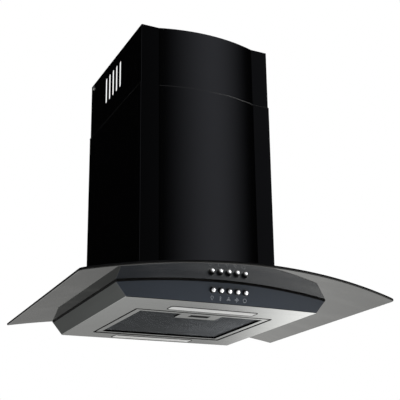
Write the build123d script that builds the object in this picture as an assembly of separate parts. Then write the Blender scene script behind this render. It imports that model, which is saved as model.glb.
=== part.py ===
from build123d import *
import math
import os

# Wall chimney hood: bent glass canopy, steel body with lamps and a washable filter, telescopic
# chimney covers, and a twin-inlet blower in a motor box that hangs on a wall bracket.
# Millimetres. X runs right as seen from the front, Y into the wall, Z up.
# The wall is the plane Y = 0, and the bottom plate's underside is Z = 0.

# Sheet metal, seats and running clearances
SHEET = 1.0                  # folded steel of the body and the motor box
CHIMNEY_SHEET = 0.8          # steel of the chimney covers
SEAT = 0.2                   # gap between pieces that are assembled against each other
SLIDE_GAP = 0.5              # upper chimney cover inside the lower one
RUNNING_GAP = 0.05           # radial clearance of a pin or shaft in its bearing
PASS = 1.0                   # how far a cutting tool passes the face that it cuts
SCREW_END = 2.0              # screw past the sheet that it holds in

# Bottom plate, counted from the wall to the front
REAR_MARGIN = 10.0           # wall to the rear lamp opening
LAMP_LENGTH = 174.0
LAMP_WIDTH = 26.0
LAMP_CORNER = 5.0
LAMP_TO_FILTER = 17.0        # rear lamp opening to the filter opening
FILTER_OPENING_WIDTH = 276.0
FILTER_OPENING_DEPTH = 234.0
FILTER_TO_LAMP = 16.0        # filter opening to the front lamp opening
FRONT_MARGIN = 41.0          # front lamp opening to the front corners

# Body
BODY_BOTTOM_WIDTH = 376.0
BODY_TOP_WIDTH = 440.0       # width of the sloped sides at the body's full height
BODY_FRONT_LEAN = 3.0        # front corners at full height, ahead of the bottom corners
BODY_BOTTOM_BOW = 7.0        # swell of the front between its corners, at the bottom
BODY_TOP_BOW = 11.0          # the same at full height
CHAMBER_HEIGHT = 10.7        # air space between the filter and the deck
DECK_DROP = 1.0              # deck below the seal at the body's sides
CONTROL_ROOM = 38.0          # fascia to the deck's front edge
FASCIA_THICKNESS = 2.0

# Glass canopy and its fixings
GLASS_WIDTH = 600.0
GLASS_THICKNESS = 5.0
GLASS_ARCH_RADIUS = 1620.0   # underside of the bent sheet
GLASS_FRONT_REACH = 92.0     # front corners ahead of the body's front corners
GLASS_FRONT_BOW = 35.0       # swell of the front edge between its corners
GLASS_FRONT_CORNER = 9.0
GLASS_BACK_CORNER = 3.0
GLASS_CUT_GAP = 4.0          # motor box to the edge of the glass notch
GLASS_NOTCH_CORNER = 12.0
SEAL_THICKNESS = 2.5
SEAL_WIDTH = 6.0
GLASS_SCREW_OFFSET = 15.0    # screw line beside the motor box
GLASS_SCREW_REAR = 60.0      # wall to the rear pair of screws
GLASS_SCREW_FRONT = 230.0    # wall to the front pair of screws
GLASS_SCREW_RADIUS = 2.5
GLASS_SCREW_HEAD = 5.0
GLASS_SCREW_HEAD_HEIGHT = 3.0
GLASS_HOLE_GAP = 1.5         # screw to the hole in the glass
SPACER_RADIUS = 7.0

# Filter cassette and its latch
FILTER_THICKNESS = 9.0
FILTER_RECESS = 0.3          # cassette above the plate's underside
FILTER_GAP = 2.6             # cassette to the opening at the front and the sides
FILTER_RAIL = 10.0           # visible width of the cassette's rails
FILTER_SHEET = 1.0
LIP_OVER = 2.7               # turned-up lip above the cassette
MESH_RECESS = 4.0            # lower mesh above the cassette's face
MESH_THICKNESS = 1.0
MESH_PAD = 2.0               # thickness of the upper mesh pad
MESH_COLUMNS = 17
MESH_ROWS = 14
MESH_STRAND = 2.6            # strand between two gaps
MESH_BORDER = 2.0            # unbroken edge inside the rails
TAB_WIDTH = 14.0
TAB_REACH = 8.5              # hinge axis to the tab's tip
TAB_THICKNESS = 1.2
TAB_SPAN = 180.0             # between the middles of the two tabs
TAB_SIDE_GAP = 1.0
BEAD_RADIUS = 1.5            # rolled hinge bead at each tab
TAB_LIFT = 0.3               # tab above the plate
SWING_GAP = 0.9              # cassette's lower rear edge to the lip as it swings
LATCH_WIDTH = 84.0
LATCH_SHEET = 1.0
LATCH_DROP = 2.6             # latch cover below the lower mesh
LATCH_CLEAR = 0.5            # tongue short of the lip when drawn back
LATCH_PLATE = 1.5
LATCH_BODY_WIDTH = 56.0
LATCH_TONGUE_WIDTH = 30.0
LATCH_ENGAGEMENT = 3.0       # tongue past the lip when slid forward
LATCH_SLOT_WIDTH = 40.0
LATCH_SLOT_MARGIN = 10.0     # cover's front wall to the finger slot
LATCH_REAR_MARGIN = 13.0     # finger slot to the cover's rear wall
LATCH_REAR_ROOM = 1.0        # slider to the cover's rear wall
FINGER_ROOM = 10.0           # finger slot ahead of the lug when slid forward
LUG_THICKNESS = 1.5
LUG_WIDTH = 36.0
LATCH_SLIDE_GAP = 0.4
LATCH_HOLE_WIDTH = 9.0       # hole in the meshes at the cover's left front corner
LATCH_HOLE_DEPTH = 22.0

# Lamps
LENS_GAP = 0.4               # lens to the plate's opening
LENS_RECESS = 0.2
LENS_FLANGE = 3.0
LENS_FLANGE_THICKNESS = 1.5
TRAY_WALL = 1.0
LAMP_HEADROOM = 6.0          # lamp tray to the deck
LED_BOARD_THICKNESS = 1.6
LED_BOARD_MARGIN = 3.0       # board to the tray's walls

# Push buttons and the switch bank behind the fascia
BUTTON_NAMES = ["light", "low_speed", "middle_speed", "high_speed", "stop"]
BUTTON_PITCH = 16.2
BUTTON_HEIGHT = 23.0         # button axis on the fascia, above the plate's underside
BUTTON_RADIUS = 5.2
BUTTON_GAP = 0.4
BUTTON_PROUD = 4.8           # barrel ahead of the fascia
BUTTON_RIM_ROUND = 0.6
BUTTON_CAP_RADIUS = 3.9
BUTTON_CAP_HEIGHT = 1.4
BUTTON_CAP_ROUND = 0.8
BUTTON_TRAVEL = 3.0
BUTTON_COLLAR = 1.2          # radius of the retaining collar over the barrel's
BUTTON_COLLAR_THICKNESS = 1.2
BUTTON_STEM_RADIUS = 2.2
BUTTON_STEM_REACH = 9.0      # stem inside the switch bank at rest
BUTTON_STEM_GAP = 0.35
BUTTON_END_ROOM = 0.6        # collar to the switch bank when pressed
SWITCH_DEPTH = 16.0
SWITCH_HEIGHT = 15.0
SWITCH_END = 18.0            # switch bank past the outer buttons
SWITCH_POST_RADIUS = 4.0
SWITCH_POST_INSET = 6.0      # fascia post to the switch bank's end
SWITCH_SCREW_RADIUS = 1.5
SWITCH_SCREW_HEAD = 3.0
SWITCH_SCREW_HEAD_HEIGHT = 2.0
SWITCH_SCREW_TIP = 1.5       # screw's tip to the fascia

# Blower and motor
IMPELLER_RADIUS = 82.0
IMPELLER_LENGTH = 100.0
IMPELLER_BAND = 13.0         # radial width of the blade ring
IMPELLER_DISC = 3.0
IMPELLER_RIM = 3.0
BLADE_COUNT = 30
BLADE_DEPTH = 12.0
BLADE_THICKNESS = 1.6
BLADE_TILT = 28.0            # degrees
HUB_RADIUS = 13.0
HUB_LENGTH = 16.0
NUT_RADIUS = 8.0
NUT_LENGTH = 6.0
IMPELLER_GAP = 10.0          # impeller to the scroll where it is narrowest
IMPELLER_SIDE_GAP = 4.0
SCROLL_WALL = 2.0
SCROLL_GROWTH = 7.0          # spiral radius gained in each quarter turn
SCROLL_BACK_GAP = 14.0
SCROLL_FRONT_GAP = 30.0
SCROLL_FLOOR_GAP = 17.0
SCROLL_SIDE_ROOM = 54.0      # air space beside the scroll
OUTLET_NECK = 48.0
OUTLET_FLANGE = 8.0
INLET_INSET = 1.0            # inlet inside the blade ring
SHAFT_RADIUS = 4.0
SHAFT_TAIL = 4.0             # shaft past the nut
MOTOR_RADIUS = 38.0
MOTOR_WALL = 1.5
MOTOR_DISC_GAP = 4.5         # impeller disc to the motor
MOTOR_TAIL = 6.0             # motor past its clamp
MOTOR_COVER_THICKNESS = 3.0
BEARING_RADIUS = 9.0
BEARING_LENGTH = 6.0
BEARING_BOSS = 3.0           # wall of the boss round each bearing
WINDING_ROOM = 5.0           # stator to the bearing bosses
STATOR_BORE = 22.0
AIR_GAP = 0.5
CLAMP_WIDTH = 8.0
CLAMP_WALL = 3.0
ARM_WIDTH = 12.0
ARM_THICKNESS = 3.0
ARM_LAP = 12.0               # arm past the inlet's edge
ARM_COUNT = 3
RUBBER_RADIUS = 6.0
RUBBER_HEIGHT = 3.0
ARM_SCREW_RADIUS = 1.8
ARM_SCREW_HEAD = 3.4
ARM_SCREW_HEAD_HEIGHT = 2.2

# Motor box and what is fixed to it
BOX_FLANGE = 10.0            # floor flange turned in onto the deck
BOX_SCREW_REAR = 40.0        # wall to the rear flange screws
BOX_SCREW_FRONT = 220.0      # wall to the front flange screws
BOX_SCREW_RADIUS = 2.0
BOX_SCREW_HEAD = 4.0
BOX_SCREW_HEAD_HEIGHT = 2.5
CAPACITOR_RADIUS = 13.0
CAPACITOR_LENGTH = 55.0
CAPACITOR_DROP = 20.0        # capacitor below the box's roof
TERMINAL_WIDTH = 60.0        # along the wall's normal
TERMINAL_HEIGHT = 55.0
TERMINAL_DEPTH = 16.0
TERMINAL_WALL = 2.0
TERMINAL_REAR = 100.0        # wall to the terminal box
TERMINAL_DROP = 75.0         # terminal box below the motor box's roof
GLAND_BORE = 4.0
GLAND_RADIUS = 6.5
GLAND_LENGTH = 18.0
SPIGOT_RADIUS = 75.0
SPIGOT_WALL = 2.0
SPIGOT_LENGTH = 45.0
SPIGOT_FLANGE = 11.0         # flange past the collar on each side
SPIGOT_FLANGE_THICKNESS = 3.0
SPIGOT_SCREW_INSET = 7.0     # screw to the flange's edge
DAMPER_PIN_RADIUS = 2.0
DAMPER_PIN_HEIGHT = 18.0     # pin above the collar's flange
DAMPER_KNUCKLE_WALL = 1.6
DAMPER_GAP = 2.0             # flap to the collar
DAMPER_FLAP_THICKNESS = 1.0
DAMPER_LEDGE = 3.0           # width of the stop inside the collar
DAMPER_LEDGE_HEIGHT = 2.0
DAMPER_REST_GAP = 0.3
WALL_BRACKET_THICKNESS = 3.0
WALL_BRACKET_WIDTH = 190.0
WALL_BRACKET_HEIGHT = 60.0
WALL_BRACKET_DROP = 12.0     # bracket below the motor box's roof
WALL_BRACKET_GAP = 0.3
WALL_HOLE_RADIUS = 4.0
WALL_HOLE_SPAN = 150.0
HOOK_WIDTH = 22.0
HOOK_SPAN = 90.0             # between the middles of the two hooks
HOOK_THICKNESS = 3.0
HOOK_RISE = 8.0
HOOK_SLOT_GAP = 1.0

# Chimney covers
CHIMNEY_SIDE_ROOM = 27.2     # motor box to the upper cover's side
CHIMNEY_FRONT_ROOM = 45.0    # motor box to the upper cover's flat front strips
CHIMNEY_BOW_WIDTH = 206.0    # chord of the bowed middle of the front
CHIMNEY_BOW = 17.0
CHIMNEY_BACK_FLANGE = 15.0
CHIMNEY_FOLD = 2.0           # outside radius of the folds
LOWER_CHIMNEY_HEIGHT = 393.5 # from the top of the glass on the middle line
UPPER_CHIMNEY_LENGTH = 380.0
UPPER_CHIMNEY_SHOWN = 125.0  # upper cover above the lower one
SLOT_COUNT = 5
SLOT_WIDTH = 8.5
SLOT_LENGTH = 58.0
SLOT_PITCH = 21.0
SLOT_MIDDLE = 143.0          # wall to the middle slot
SLOT_DROP = 23.5             # slots below the upper cover's top
CHIMNEY_STRAP_DROP = 45.0    # bracket's strap below the upper cover's top
CHIMNEY_STRAP_HEIGHT = 18.0
CHIMNEY_EAR_DROP = 2.0       # bracket's ears below the upper cover's top
CHIMNEY_BRACKET_SHEET = 2.0
CHIMNEY_BRACKET_REACH = 24.0 # wall to the front of the bracket's ears
CHIMNEY_BRACKET_GAP = 0.3
CHIMNEY_HOLE_SPAN = 160.0
CHIMNEY_HOLE_RADIUS = 3.0
CHIMNEY_SCREW_REAR = 17.0    # wall to the side screws
CHIMNEY_SCREW_DROP = 9.0     # side screws below the upper cover's top
CHIMNEY_SCREW_RADIUS = 1.9
CHIMNEY_SCREW_HEAD = 4.2
CHIMNEY_SCREW_HEAD_HEIGHT = 2.2
CHIMNEY_SCREW_REACH = 8.0

# Places worked out from the sizes above
FILTER_BACK = -(REAR_MARGIN + LAMP_WIDTH + LAMP_TO_FILTER)
FILTER_FRONT = FILTER_BACK - FILTER_OPENING_DEPTH
REAR_LAMP_Y = -(REAR_MARGIN + LAMP_WIDTH / 2)
FRONT_LAMP_Y = FILTER_FRONT - FILTER_TO_LAMP - LAMP_WIDTH / 2
BODY_BOTTOM_DEPTH = -(FRONT_LAMP_Y - LAMP_WIDTH / 2) + FRONT_MARGIN
BODY_TOP_DEPTH = BODY_BOTTOM_DEPTH + BODY_FRONT_LEAN
GLASS_SIDE_DEPTH = BODY_TOP_DEPTH + GLASS_FRONT_REACH

FILTER_TOP = FILTER_RECESS + FILTER_THICKNESS
DECK_TOP = FILTER_TOP + CHAMBER_HEIGHT + SHEET
DECK_SAG = GLASS_ARCH_RADIUS - math.sqrt(GLASS_ARCH_RADIUS**2 - (BODY_TOP_WIDTH / 2) ** 2)
BODY_HEIGHT = DECK_TOP + DECK_DROP + SEAL_THICKNESS + DECK_SAG
ARCH_CENTRE_Z = BODY_HEIGHT - GLASS_ARCH_RADIUS

SCROLL_START = IMPELLER_RADIUS + IMPELLER_GAP
SCROLL_HALF = IMPELLER_LENGTH / 2 + IMPELLER_SIDE_GAP + SCROLL_WALL
BOX_HALF = SCROLL_HALF + SCROLL_SIDE_ROOM + SHEET
BOX_BACK = -(WALL_BRACKET_THICKNESS + WALL_BRACKET_GAP)
AXIS_Y = BOX_BACK - SHEET - SCROLL_BACK_GAP - SCROLL_WALL - SCROLL_START
AXIS_Z = DECK_TOP + SCROLL_FLOOR_GAP + SCROLL_WALL + SCROLL_START + SCROLL_GROWTH
SCROLL_FRONT = AXIS_Y - 3 * SCROLL_GROWTH - SCROLL_START
OUTLET_TOP = AXIS_Z + SCROLL_START + SCROLL_WALL + OUTLET_NECK
BOX_FRONT = SCROLL_FRONT - SCROLL_WALL - SCROLL_FRONT_GAP - SHEET
BOX_TOP = OUTLET_TOP + SEAT + SHEET
INLET_RADIUS = IMPELLER_RADIUS - IMPELLER_BAND - INLET_INSET
MOTOR_START = IMPELLER_DISC / 2 + MOTOR_DISC_GAP
CLAMP_START = SCROLL_HALF + RUBBER_HEIGHT
MOTOR_END = CLAMP_START + CLAMP_WIDTH + MOTOR_TAIL
SPIGOT_Y = (SCROLL_FRONT + AXIS_Y) / 2
SPIGOT_BASE = BOX_TOP + SPIGOT_FLANGE_THICKNESS
DAMPER_Z = SPIGOT_BASE + DAMPER_PIN_HEIGHT

UPPER_INSET = CHIMNEY_SHEET + SLIDE_GAP
CHIMNEY_HALF = BOX_HALF + CHIMNEY_SIDE_ROOM + CHIMNEY_SHEET + UPPER_INSET
CHIMNEY_DEPTH = -BOX_FRONT + CHIMNEY_FRONT_ROOM + CHIMNEY_SHEET + UPPER_INSET
GLASS_TOP = BODY_HEIGHT + GLASS_THICKNESS
SEAM_Z = GLASS_TOP + LOWER_CHIMNEY_HEIGHT
CHIMNEY_TOP = SEAM_Z + UPPER_CHIMNEY_SHOWN
CHIMNEY_SCREW_Z = CHIMNEY_TOP - CHIMNEY_SCREW_DROP
CHIMNEY_STRAP_TOP = CHIMNEY_TOP - CHIMNEY_STRAP_DROP
CHIMNEY_HOLE_Z = CHIMNEY_STRAP_TOP - CHIMNEY_STRAP_HEIGHT / 2

HINGE_Z = SHEET + TAB_LIFT + TAB_THICKNESS / 2
HINGE_Y = FILTER_BACK - SWING_GAP - (HINGE_Z - FILTER_RECESS)
LATCH_THROW = LATCH_CLEAR + SHEET + LATCH_ENGAGEMENT


def block(low, high):
    """Box between two opposite corners."""
    size = [b - a for a, b in zip(low, high)]
    middle = [(a + b) / 2 for a, b in zip(low, high)]
    return Pos(*middle) * Box(*size)


def rod_x(radius, start, end, y, z):
    return Pos((start + end) / 2, y, z) * Rot(0, 90, 0) * Cylinder(radius, end - start)


def rod_y(radius, start, end, x, z):
    return Pos(x, (start + end) / 2, z) * Rot(90, 0, 0) * Cylinder(radius, end - start)


def rod_z(radius, start, end, x, y):
    return Pos(x, y, (start + end) / 2) * Cylinder(radius, end - start)


def shaft_rod(radius, start, end):
    """Rod on the blower's axis."""
    return rod_x(radius, start, end, AXIS_Y, AXIS_Z)


def shaft_ring(outer, inner, start, end):
    """Ring on the blower's axis."""
    return shaft_rod(outer, start, end) - shaft_rod(inner, start - PASS, end + PASS)


def group(solids):
    """Separate like pieces that share a node."""
    return Compound(children=list(solids))


def sag(x, radius):
    """Drop of an arch of this radius, x away from its middle."""
    return radius - math.sqrt(radius**2 - x**2)


def under_arch(rise):
    """Everything below the arch that lies this far above the underside of the glass."""
    reach = GLASS_SIDE_DEPTH + GLASS_FRONT_BOW + GLASS_FRONT_REACH
    return rod_y(GLASS_ARCH_RADIUS + rise, -reach, reach, 0, ARCH_CENTRE_Z)


def body_outline(height, side, front, back):
    """Level section of the body, moved in by the three insets."""
    share = height / BODY_HEIGHT
    half = (BODY_BOTTOM_WIDTH + (BODY_TOP_WIDTH - BODY_BOTTOM_WIDTH) * share) / 2
    corner = BODY_BOTTOM_DEPTH + BODY_FRONT_LEAN * share
    bow = BODY_BOTTOM_BOW + (BODY_TOP_BOW - BODY_BOTTOM_BOW) * share
    radius = (half**2 + bow**2) / (2 * bow)
    centre = radius - corner - bow
    x = half - side
    reach = radius - front
    y = centre - math.sqrt(reach**2 - x**2)
    edges = [
        Line((-x, -back), (x, -back)),
        Line((x, -back), (x, y)),
        ThreePointArc((x, y), (0, centre - reach), (-x, y)),
        Line((-x, y), (-x, -back)),
    ]
    return Pos(0, 0, height) * make_face(edges)


def body_volume(low, high, side=0.0, front=0.0, back=0.0):
    """The body between two heights, moved in by the insets, or out where they are negative.

    The back is cut flat, parallel to the wall.
    """
    sections = [body_outline(height, side, front, back - PASS) for height in (low, high)]
    beyond = BODY_TOP_WIDTH + CONTROL_ROOM
    behind = block((-beyond, -back, low - PASS), (beyond, -back + 2 * PASS, high + PASS))
    return loft(sections, ruled=True) - behind


def fascia_front(height):
    """Front of the fascia on the middle line."""
    share = height / BODY_HEIGHT
    bow = BODY_BOTTOM_BOW + (BODY_TOP_BOW - BODY_BOTTOM_BOW) * share
    return -(BODY_BOTTOM_DEPTH + BODY_FRONT_LEAN * share + bow)


def fascia_plane():
    """Plane on the fascia at the middle button, X along the row and Z out of the fascia."""
    lean = fascia_front(BODY_HEIGHT) - fascia_front(0)
    return Plane(
        origin=(0, fascia_front(BUTTON_HEIGHT), BUTTON_HEIGHT),
        x_dir=(1, 0, 0),
        z_dir=(0, -BODY_HEIGHT, lean),
    )


def button_places():
    middle = (len(BUTTON_NAMES) - 1) / 2
    return [(index - middle) * BUTTON_PITCH for index in range(len(BUTTON_NAMES))]


def glass_screw_places():
    x = BOX_HALF + GLASS_SCREW_OFFSET
    return [(side * x, -y) for side in (-1, 1) for y in (GLASS_SCREW_REAR, GLASS_SCREW_FRONT)]


def box_screw_places():
    x = BOX_HALF - SHEET - BOX_FLANGE / 2
    return [(side * x, -y) for side in (-1, 1) for y in (BOX_SCREW_REAR, BOX_SCREW_FRONT)]


def through_glass(outline):
    """Upright prism of an outline, from below the bent glass to above it."""
    low = BODY_HEIGHT - sag(GLASS_WIDTH / 2, GLASS_ARCH_RADIUS) - PASS
    return Pos(0, 0, low) * extrude(outline, GLASS_TOP + PASS - low)


def glass_notch(gap):
    """Room for the motor box through the glass, open at the wall."""
    outline = Rectangle(2 * (BOX_HALF + gap), 2 * (gap - BOX_FRONT))
    return through_glass(fillet(outline.vertices(), GLASS_NOTCH_CORNER))


# Body

def canopy_shell():
    """Sloped sides and back wall, joined by the level deck that carries the motor box."""
    flare = (BODY_TOP_WIDTH - BODY_BOTTOM_WIDTH) / 2 / BODY_HEIGHT
    level_wall = SHEET * math.hypot(1, flare)
    behind_fascia = FASCIA_THICKNESS + SEAT
    outside = body_volume(SHEET, BODY_HEIGHT, front=behind_fascia)
    inside = body_volume(0, BODY_HEIGHT + PASS, side=level_wall, front=-CONTROL_ROOM, back=SHEET)
    walls = (outside - inside) & under_arch(-SEAL_THICKNESS - SEAT)
    deck = body_volume(DECK_TOP - SHEET, DECK_TOP, SHEET / 2, CONTROL_ROOM, SHEET / 2)
    half = BOX_HALF - SHEET - BOX_FLANGE
    front = BOX_FRONT + SHEET + BOX_FLANGE
    back = BOX_BACK - SHEET - BOX_FLANGE
    deck -= block((-half, front, 0), (half, back, BODY_HEIGHT))
    for x, y in glass_screw_places():
        deck -= rod_z(GLASS_SCREW_RADIUS + RUNNING_GAP, 0, BODY_HEIGHT, x, y)
    for x, y in box_screw_places():
        deck -= rod_z(BOX_SCREW_RADIUS + RUNNING_GAP, 0, BODY_HEIGHT, x, y)
    return walls + deck


def lamp_opening(y, grow, low, high):
    """Rounded lamp shape about one lamp's middle, grown on every side."""
    outline = RectangleRounded(LAMP_LENGTH + 2 * grow, LAMP_WIDTH + 2 * grow, LAMP_CORNER + grow)
    return Pos(0, y, low) * extrude(outline, high - low)


def latch_height():
    """Underside of the sliding latch plate."""
    return FILTER_RECESS + (FILTER_THICKNESS - LATCH_PLATE) / 2


def bottom_plate():
    """Plate with the two lamp openings and the filter opening in its turned-up lip."""
    half = FILTER_OPENING_WIDTH / 2
    lip = block(
        (-half - SHEET, FILTER_FRONT - SHEET, 0),
        (half + SHEET, FILTER_BACK + SHEET, FILTER_TOP + LIP_OVER),
    )
    plate = body_volume(0, SHEET) + lip
    plate -= block((-half, FILTER_FRONT, -PASS), (half, FILTER_BACK, FILTER_TOP + LIP_OVER + PASS))
    for y in (REAR_LAMP_Y, FRONT_LAMP_Y):
        plate -= lamp_opening(y, 0, -PASS, SHEET + PASS)
    notch = TAB_WIDTH / 2 + TAB_SIDE_GAP
    for x in (-TAB_SPAN / 2, TAB_SPAN / 2):
        plate -= block(
            (x - notch, FILTER_BACK - PASS, SHEET),
            (x + notch, FILTER_BACK + SHEET, FILTER_TOP + LIP_OVER + PASS),
        )
    catch = LATCH_TONGUE_WIDTH / 2 + LATCH_SLIDE_GAP
    plate -= block(
        (-catch, FILTER_FRONT - SHEET - PASS, latch_height() - LATCH_SLIDE_GAP),
        (catch, FILTER_FRONT + PASS, latch_height() + LATCH_PLATE + LATCH_SLIDE_GAP),
    )
    return plate


def control_fascia():
    """Bowed front panel with the button holes and two posts for the switch bank."""
    behind = body_volume(
        0, BODY_HEIGHT + PASS, side=-CONTROL_ROOM, front=FASCIA_THICKNESS, back=-CONTROL_ROOM
    )
    panel = (body_volume(SHEET, BODY_HEIGHT) - behind) & under_arch(-SEAL_THICKNESS - SEAT)
    place = fascia_plane()
    for x in button_places():
        panel -= normal_rod(BUTTON_RADIUS + BUTTON_GAP, collar_front(), PASS, x)
    length = -switch_front() - FASCIA_THICKNESS / 2
    for x in switch_posts():
        post = Cylinder(SWITCH_POST_RADIUS, length) - Cylinder(SWITCH_SCREW_RADIUS, length)
        panel += place * Pos(x, 0, switch_front() + length / 2) * post
    return panel


def glass_canopy():
    """Bent glass, notched at the wall for the motor box, with the holes for its screws."""
    half = GLASS_WIDTH / 2
    nose = -(GLASS_SIDE_DEPTH + GLASS_FRONT_BOW)
    edges = [
        Line((-half, 0), (half, 0)),
        Line((half, 0), (half, -GLASS_SIDE_DEPTH)),
        ThreePointArc((half, -GLASS_SIDE_DEPTH), (0, nose), (-half, -GLASS_SIDE_DEPTH)),
        Line((-half, -GLASS_SIDE_DEPTH), (-half, 0)),
    ]
    outline = make_face(edges)
    outline = fillet(outline.vertices().group_by(Axis.Y)[0], GLASS_FRONT_CORNER)
    outline = fillet(outline.vertices().group_by(Axis.Y)[-1], GLASS_BACK_CORNER)
    sheet = (through_glass(outline) & under_arch(GLASS_THICKNESS)) - under_arch(0)
    sheet -= glass_notch(GLASS_CUT_GAP)
    for x, y in glass_screw_places():
        hole = GLASS_SCREW_RADIUS + GLASS_HOLE_GAP
        sheet -= rod_z(hole, 0, GLASS_TOP + PASS, x, y)
    return sheet


def glass_seal():
    """Rubber strip on the body's rim, under the glass."""
    high = BODY_HEIGHT + SEAL_THICKNESS
    ring = body_volume(SHEET, high)
    ring -= body_volume(0, high + PASS, SEAL_WIDTH, SEAL_WIDTH, SEAL_WIDTH)
    ring = (ring & under_arch(-SEAT)) - under_arch(-SEAL_THICKNESS)
    return ring - glass_notch(GLASS_CUT_GAP)


def glass_spacers():
    """Nylon posts that carry the glass on the deck beside the motor box."""
    posts = []
    for x, y in glass_screw_places():
        post = rod_z(SPACER_RADIUS, DECK_TOP, BODY_HEIGHT, x, y) & under_arch(-SEAT)
        posts.append(post - rod_z(GLASS_SCREW_RADIUS + RUNNING_GAP, 0, BODY_HEIGHT, x, y))
    return group(posts)


def glass_screws():
    """Screws through the glass and the spacers into the deck."""
    screws = []
    for x, y in glass_screw_places():
        inner_edge = abs(x) - GLASS_SCREW_HEAD
        seat = GLASS_TOP - sag(inner_edge, GLASS_ARCH_RADIUS + GLASS_THICKNESS) + SEAT
        head = rod_z(GLASS_SCREW_HEAD, seat, seat + GLASS_SCREW_HEAD_HEIGHT, x, y)
        head = fillet(head.edges().group_by(Axis.Z)[-1], GLASS_SCREW_HEAD_HEIGHT / 3)
        screws.append(head + rod_z(GLASS_SCREW_RADIUS, DECK_TOP - SHEET - SCREW_END, seat, x, y))
    return group(screws)


# Filter cassette and latch

def cassette_block(inset, low, high):
    """The cassette's outer box, moved in on every side."""
    half = FILTER_OPENING_WIDTH / 2 - FILTER_GAP - inset
    front = FILTER_FRONT + FILTER_GAP + inset
    return block((-half, front, low), (half, HINGE_Y - inset, high))


def latch_cover_span():
    """Front and back of the latch cover."""
    front = FILTER_FRONT + FILTER_GAP + FILTER_RAIL + SEAT
    slot = FINGER_ROOM + LATCH_THROW + 2 * LUG_THICKNESS
    return front, front + LATCH_SLOT_MARGIN + slot + LATCH_REAR_MARGIN


def filter_frame():
    """Folded channel frame with two rear tabs that hinge in the plate's lip."""
    frame = cassette_block(0, FILTER_RECESS, FILTER_TOP)
    frame -= cassette_block(FILTER_RAIL, FILTER_RECESS - PASS, FILTER_TOP + PASS)
    frame -= cassette_block(FILTER_SHEET, FILTER_RECESS + FILTER_SHEET, FILTER_TOP - FILTER_SHEET)
    for x in (-TAB_SPAN / 2, TAB_SPAN / 2):
        left = x - TAB_WIDTH / 2
        right = x + TAB_WIDTH / 2
        frame += rod_x(BEAD_RADIUS, left, right, HINGE_Y, HINGE_Z)
        frame += block(
            (left, HINGE_Y, HINGE_Z - TAB_THICKNESS / 2),
            (right, HINGE_Y + TAB_REACH, HINGE_Z + TAB_THICKNESS / 2),
        )
    catch = LATCH_TONGUE_WIDTH / 2 + LATCH_SLIDE_GAP
    front = FILTER_FRONT + FILTER_GAP
    return frame - block(
        (-catch, front - PASS, latch_height() - LATCH_SLIDE_GAP),
        (catch, front + FILTER_SHEET + PASS, latch_height() + LATCH_PLATE + LATCH_SLIDE_GAP),
    )


def filter_mesh(low, thickness, shift):
    """Mesh layer with staggered diamond gaps, cut out round the latch cover and beside its left front."""
    inset = FILTER_SHEET + SEAT
    half = FILTER_OPENING_WIDTH / 2 - FILTER_GAP - inset
    front = FILTER_FRONT + FILTER_GAP + inset
    back = HINGE_Y - inset
    notch = LATCH_WIDTH / 2 + SEAT
    notch_back = latch_cover_span()[1] + SEAT
    hole = notch + LATCH_HOLE_WIDTH
    hole_back = latch_cover_span()[0] + LATCH_HOLE_DEPTH
    outline = [
        (-half, front), (-hole, front), (-hole, hole_back), (-notch, hole_back),
        (-notch, notch_back), (notch, notch_back), (notch, front), (half, front),
        (half, back), (-half, back),
    ]
    open_half = FILTER_OPENING_WIDTH / 2 - FILTER_GAP - FILTER_RAIL - MESH_BORDER
    open_front = FILTER_FRONT + FILTER_GAP + FILTER_RAIL + MESH_BORDER
    open_back = HINGE_Y - FILTER_RAIL - MESH_BORDER
    pitch_x = 2 * open_half / MESH_COLUMNS
    pitch_y = (open_back - open_front) / MESH_ROWS
    reach_x = (pitch_x - MESH_STRAND) / 2
    reach_y = (pitch_y - MESH_STRAND) / 2
    gaps = []
    for row in range(MESH_ROWS):
        stagger = (row + shift) % 2
        for column in range(MESH_COLUMNS - stagger):
            x = -open_half + (column + (1 + stagger) / 2) * pitch_x
            y = open_front + (row + 0.5) * pitch_y
            beside_latch = x > notch + pitch_x / 2 or x < -hole - pitch_x / 2
            if beside_latch or y > notch_back + pitch_y / 2:
                gaps.append([(x - reach_x, y), (x, y - reach_y), (x + reach_x, y), (x, y + reach_y)])
    rim = Wire.make_polygon([(x, y, 0) for x, y in outline])
    holes = [Wire.make_polygon([(x, y, 0) for x, y in gap]) for gap in gaps]
    return Pos(0, 0, low) * extrude(Face(rim, holes), thickness, dir=(0, 0, 1))


def filter_mesh_lower():
    return filter_mesh(FILTER_RECESS + MESH_RECESS, MESH_THICKNESS, 0)


def filter_mesh_upper():
    low = FILTER_RECESS + MESH_RECESS + MESH_THICKNESS + SEAT
    return filter_mesh(low, MESH_PAD, 1)


def latch_cover():
    """Shallow pressed cover with the finger slot, fixed behind the cassette's front rail."""
    front, back = latch_cover_span()
    half = LATCH_WIDTH / 2
    low = FILTER_RECESS + MESH_RECESS - LATCH_DROP
    high = FILTER_TOP - FILTER_SHEET
    cover = block((-half, front, low), (half, back, high))
    cover -= block(
        (-half + LATCH_SHEET, front + LATCH_SHEET, low + LATCH_SHEET),
        (half - LATCH_SHEET, back - LATCH_SHEET, high + PASS),
    )
    slot_front = front + LATCH_SLOT_MARGIN
    cover -= block(
        (-LATCH_SLOT_WIDTH / 2, slot_front, low - PASS),
        (LATCH_SLOT_WIDTH / 2, back - LATCH_REAR_MARGIN, low + LATCH_SHEET + PASS),
    )
    catch = LATCH_TONGUE_WIDTH / 2 + LATCH_SLIDE_GAP
    return cover - block(
        (-catch, front - PASS, latch_height() - LATCH_SLIDE_GAP),
        (catch, front + LATCH_SHEET + PASS, latch_height() + LATCH_PLATE + LATCH_SLIDE_GAP),
    )


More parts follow.
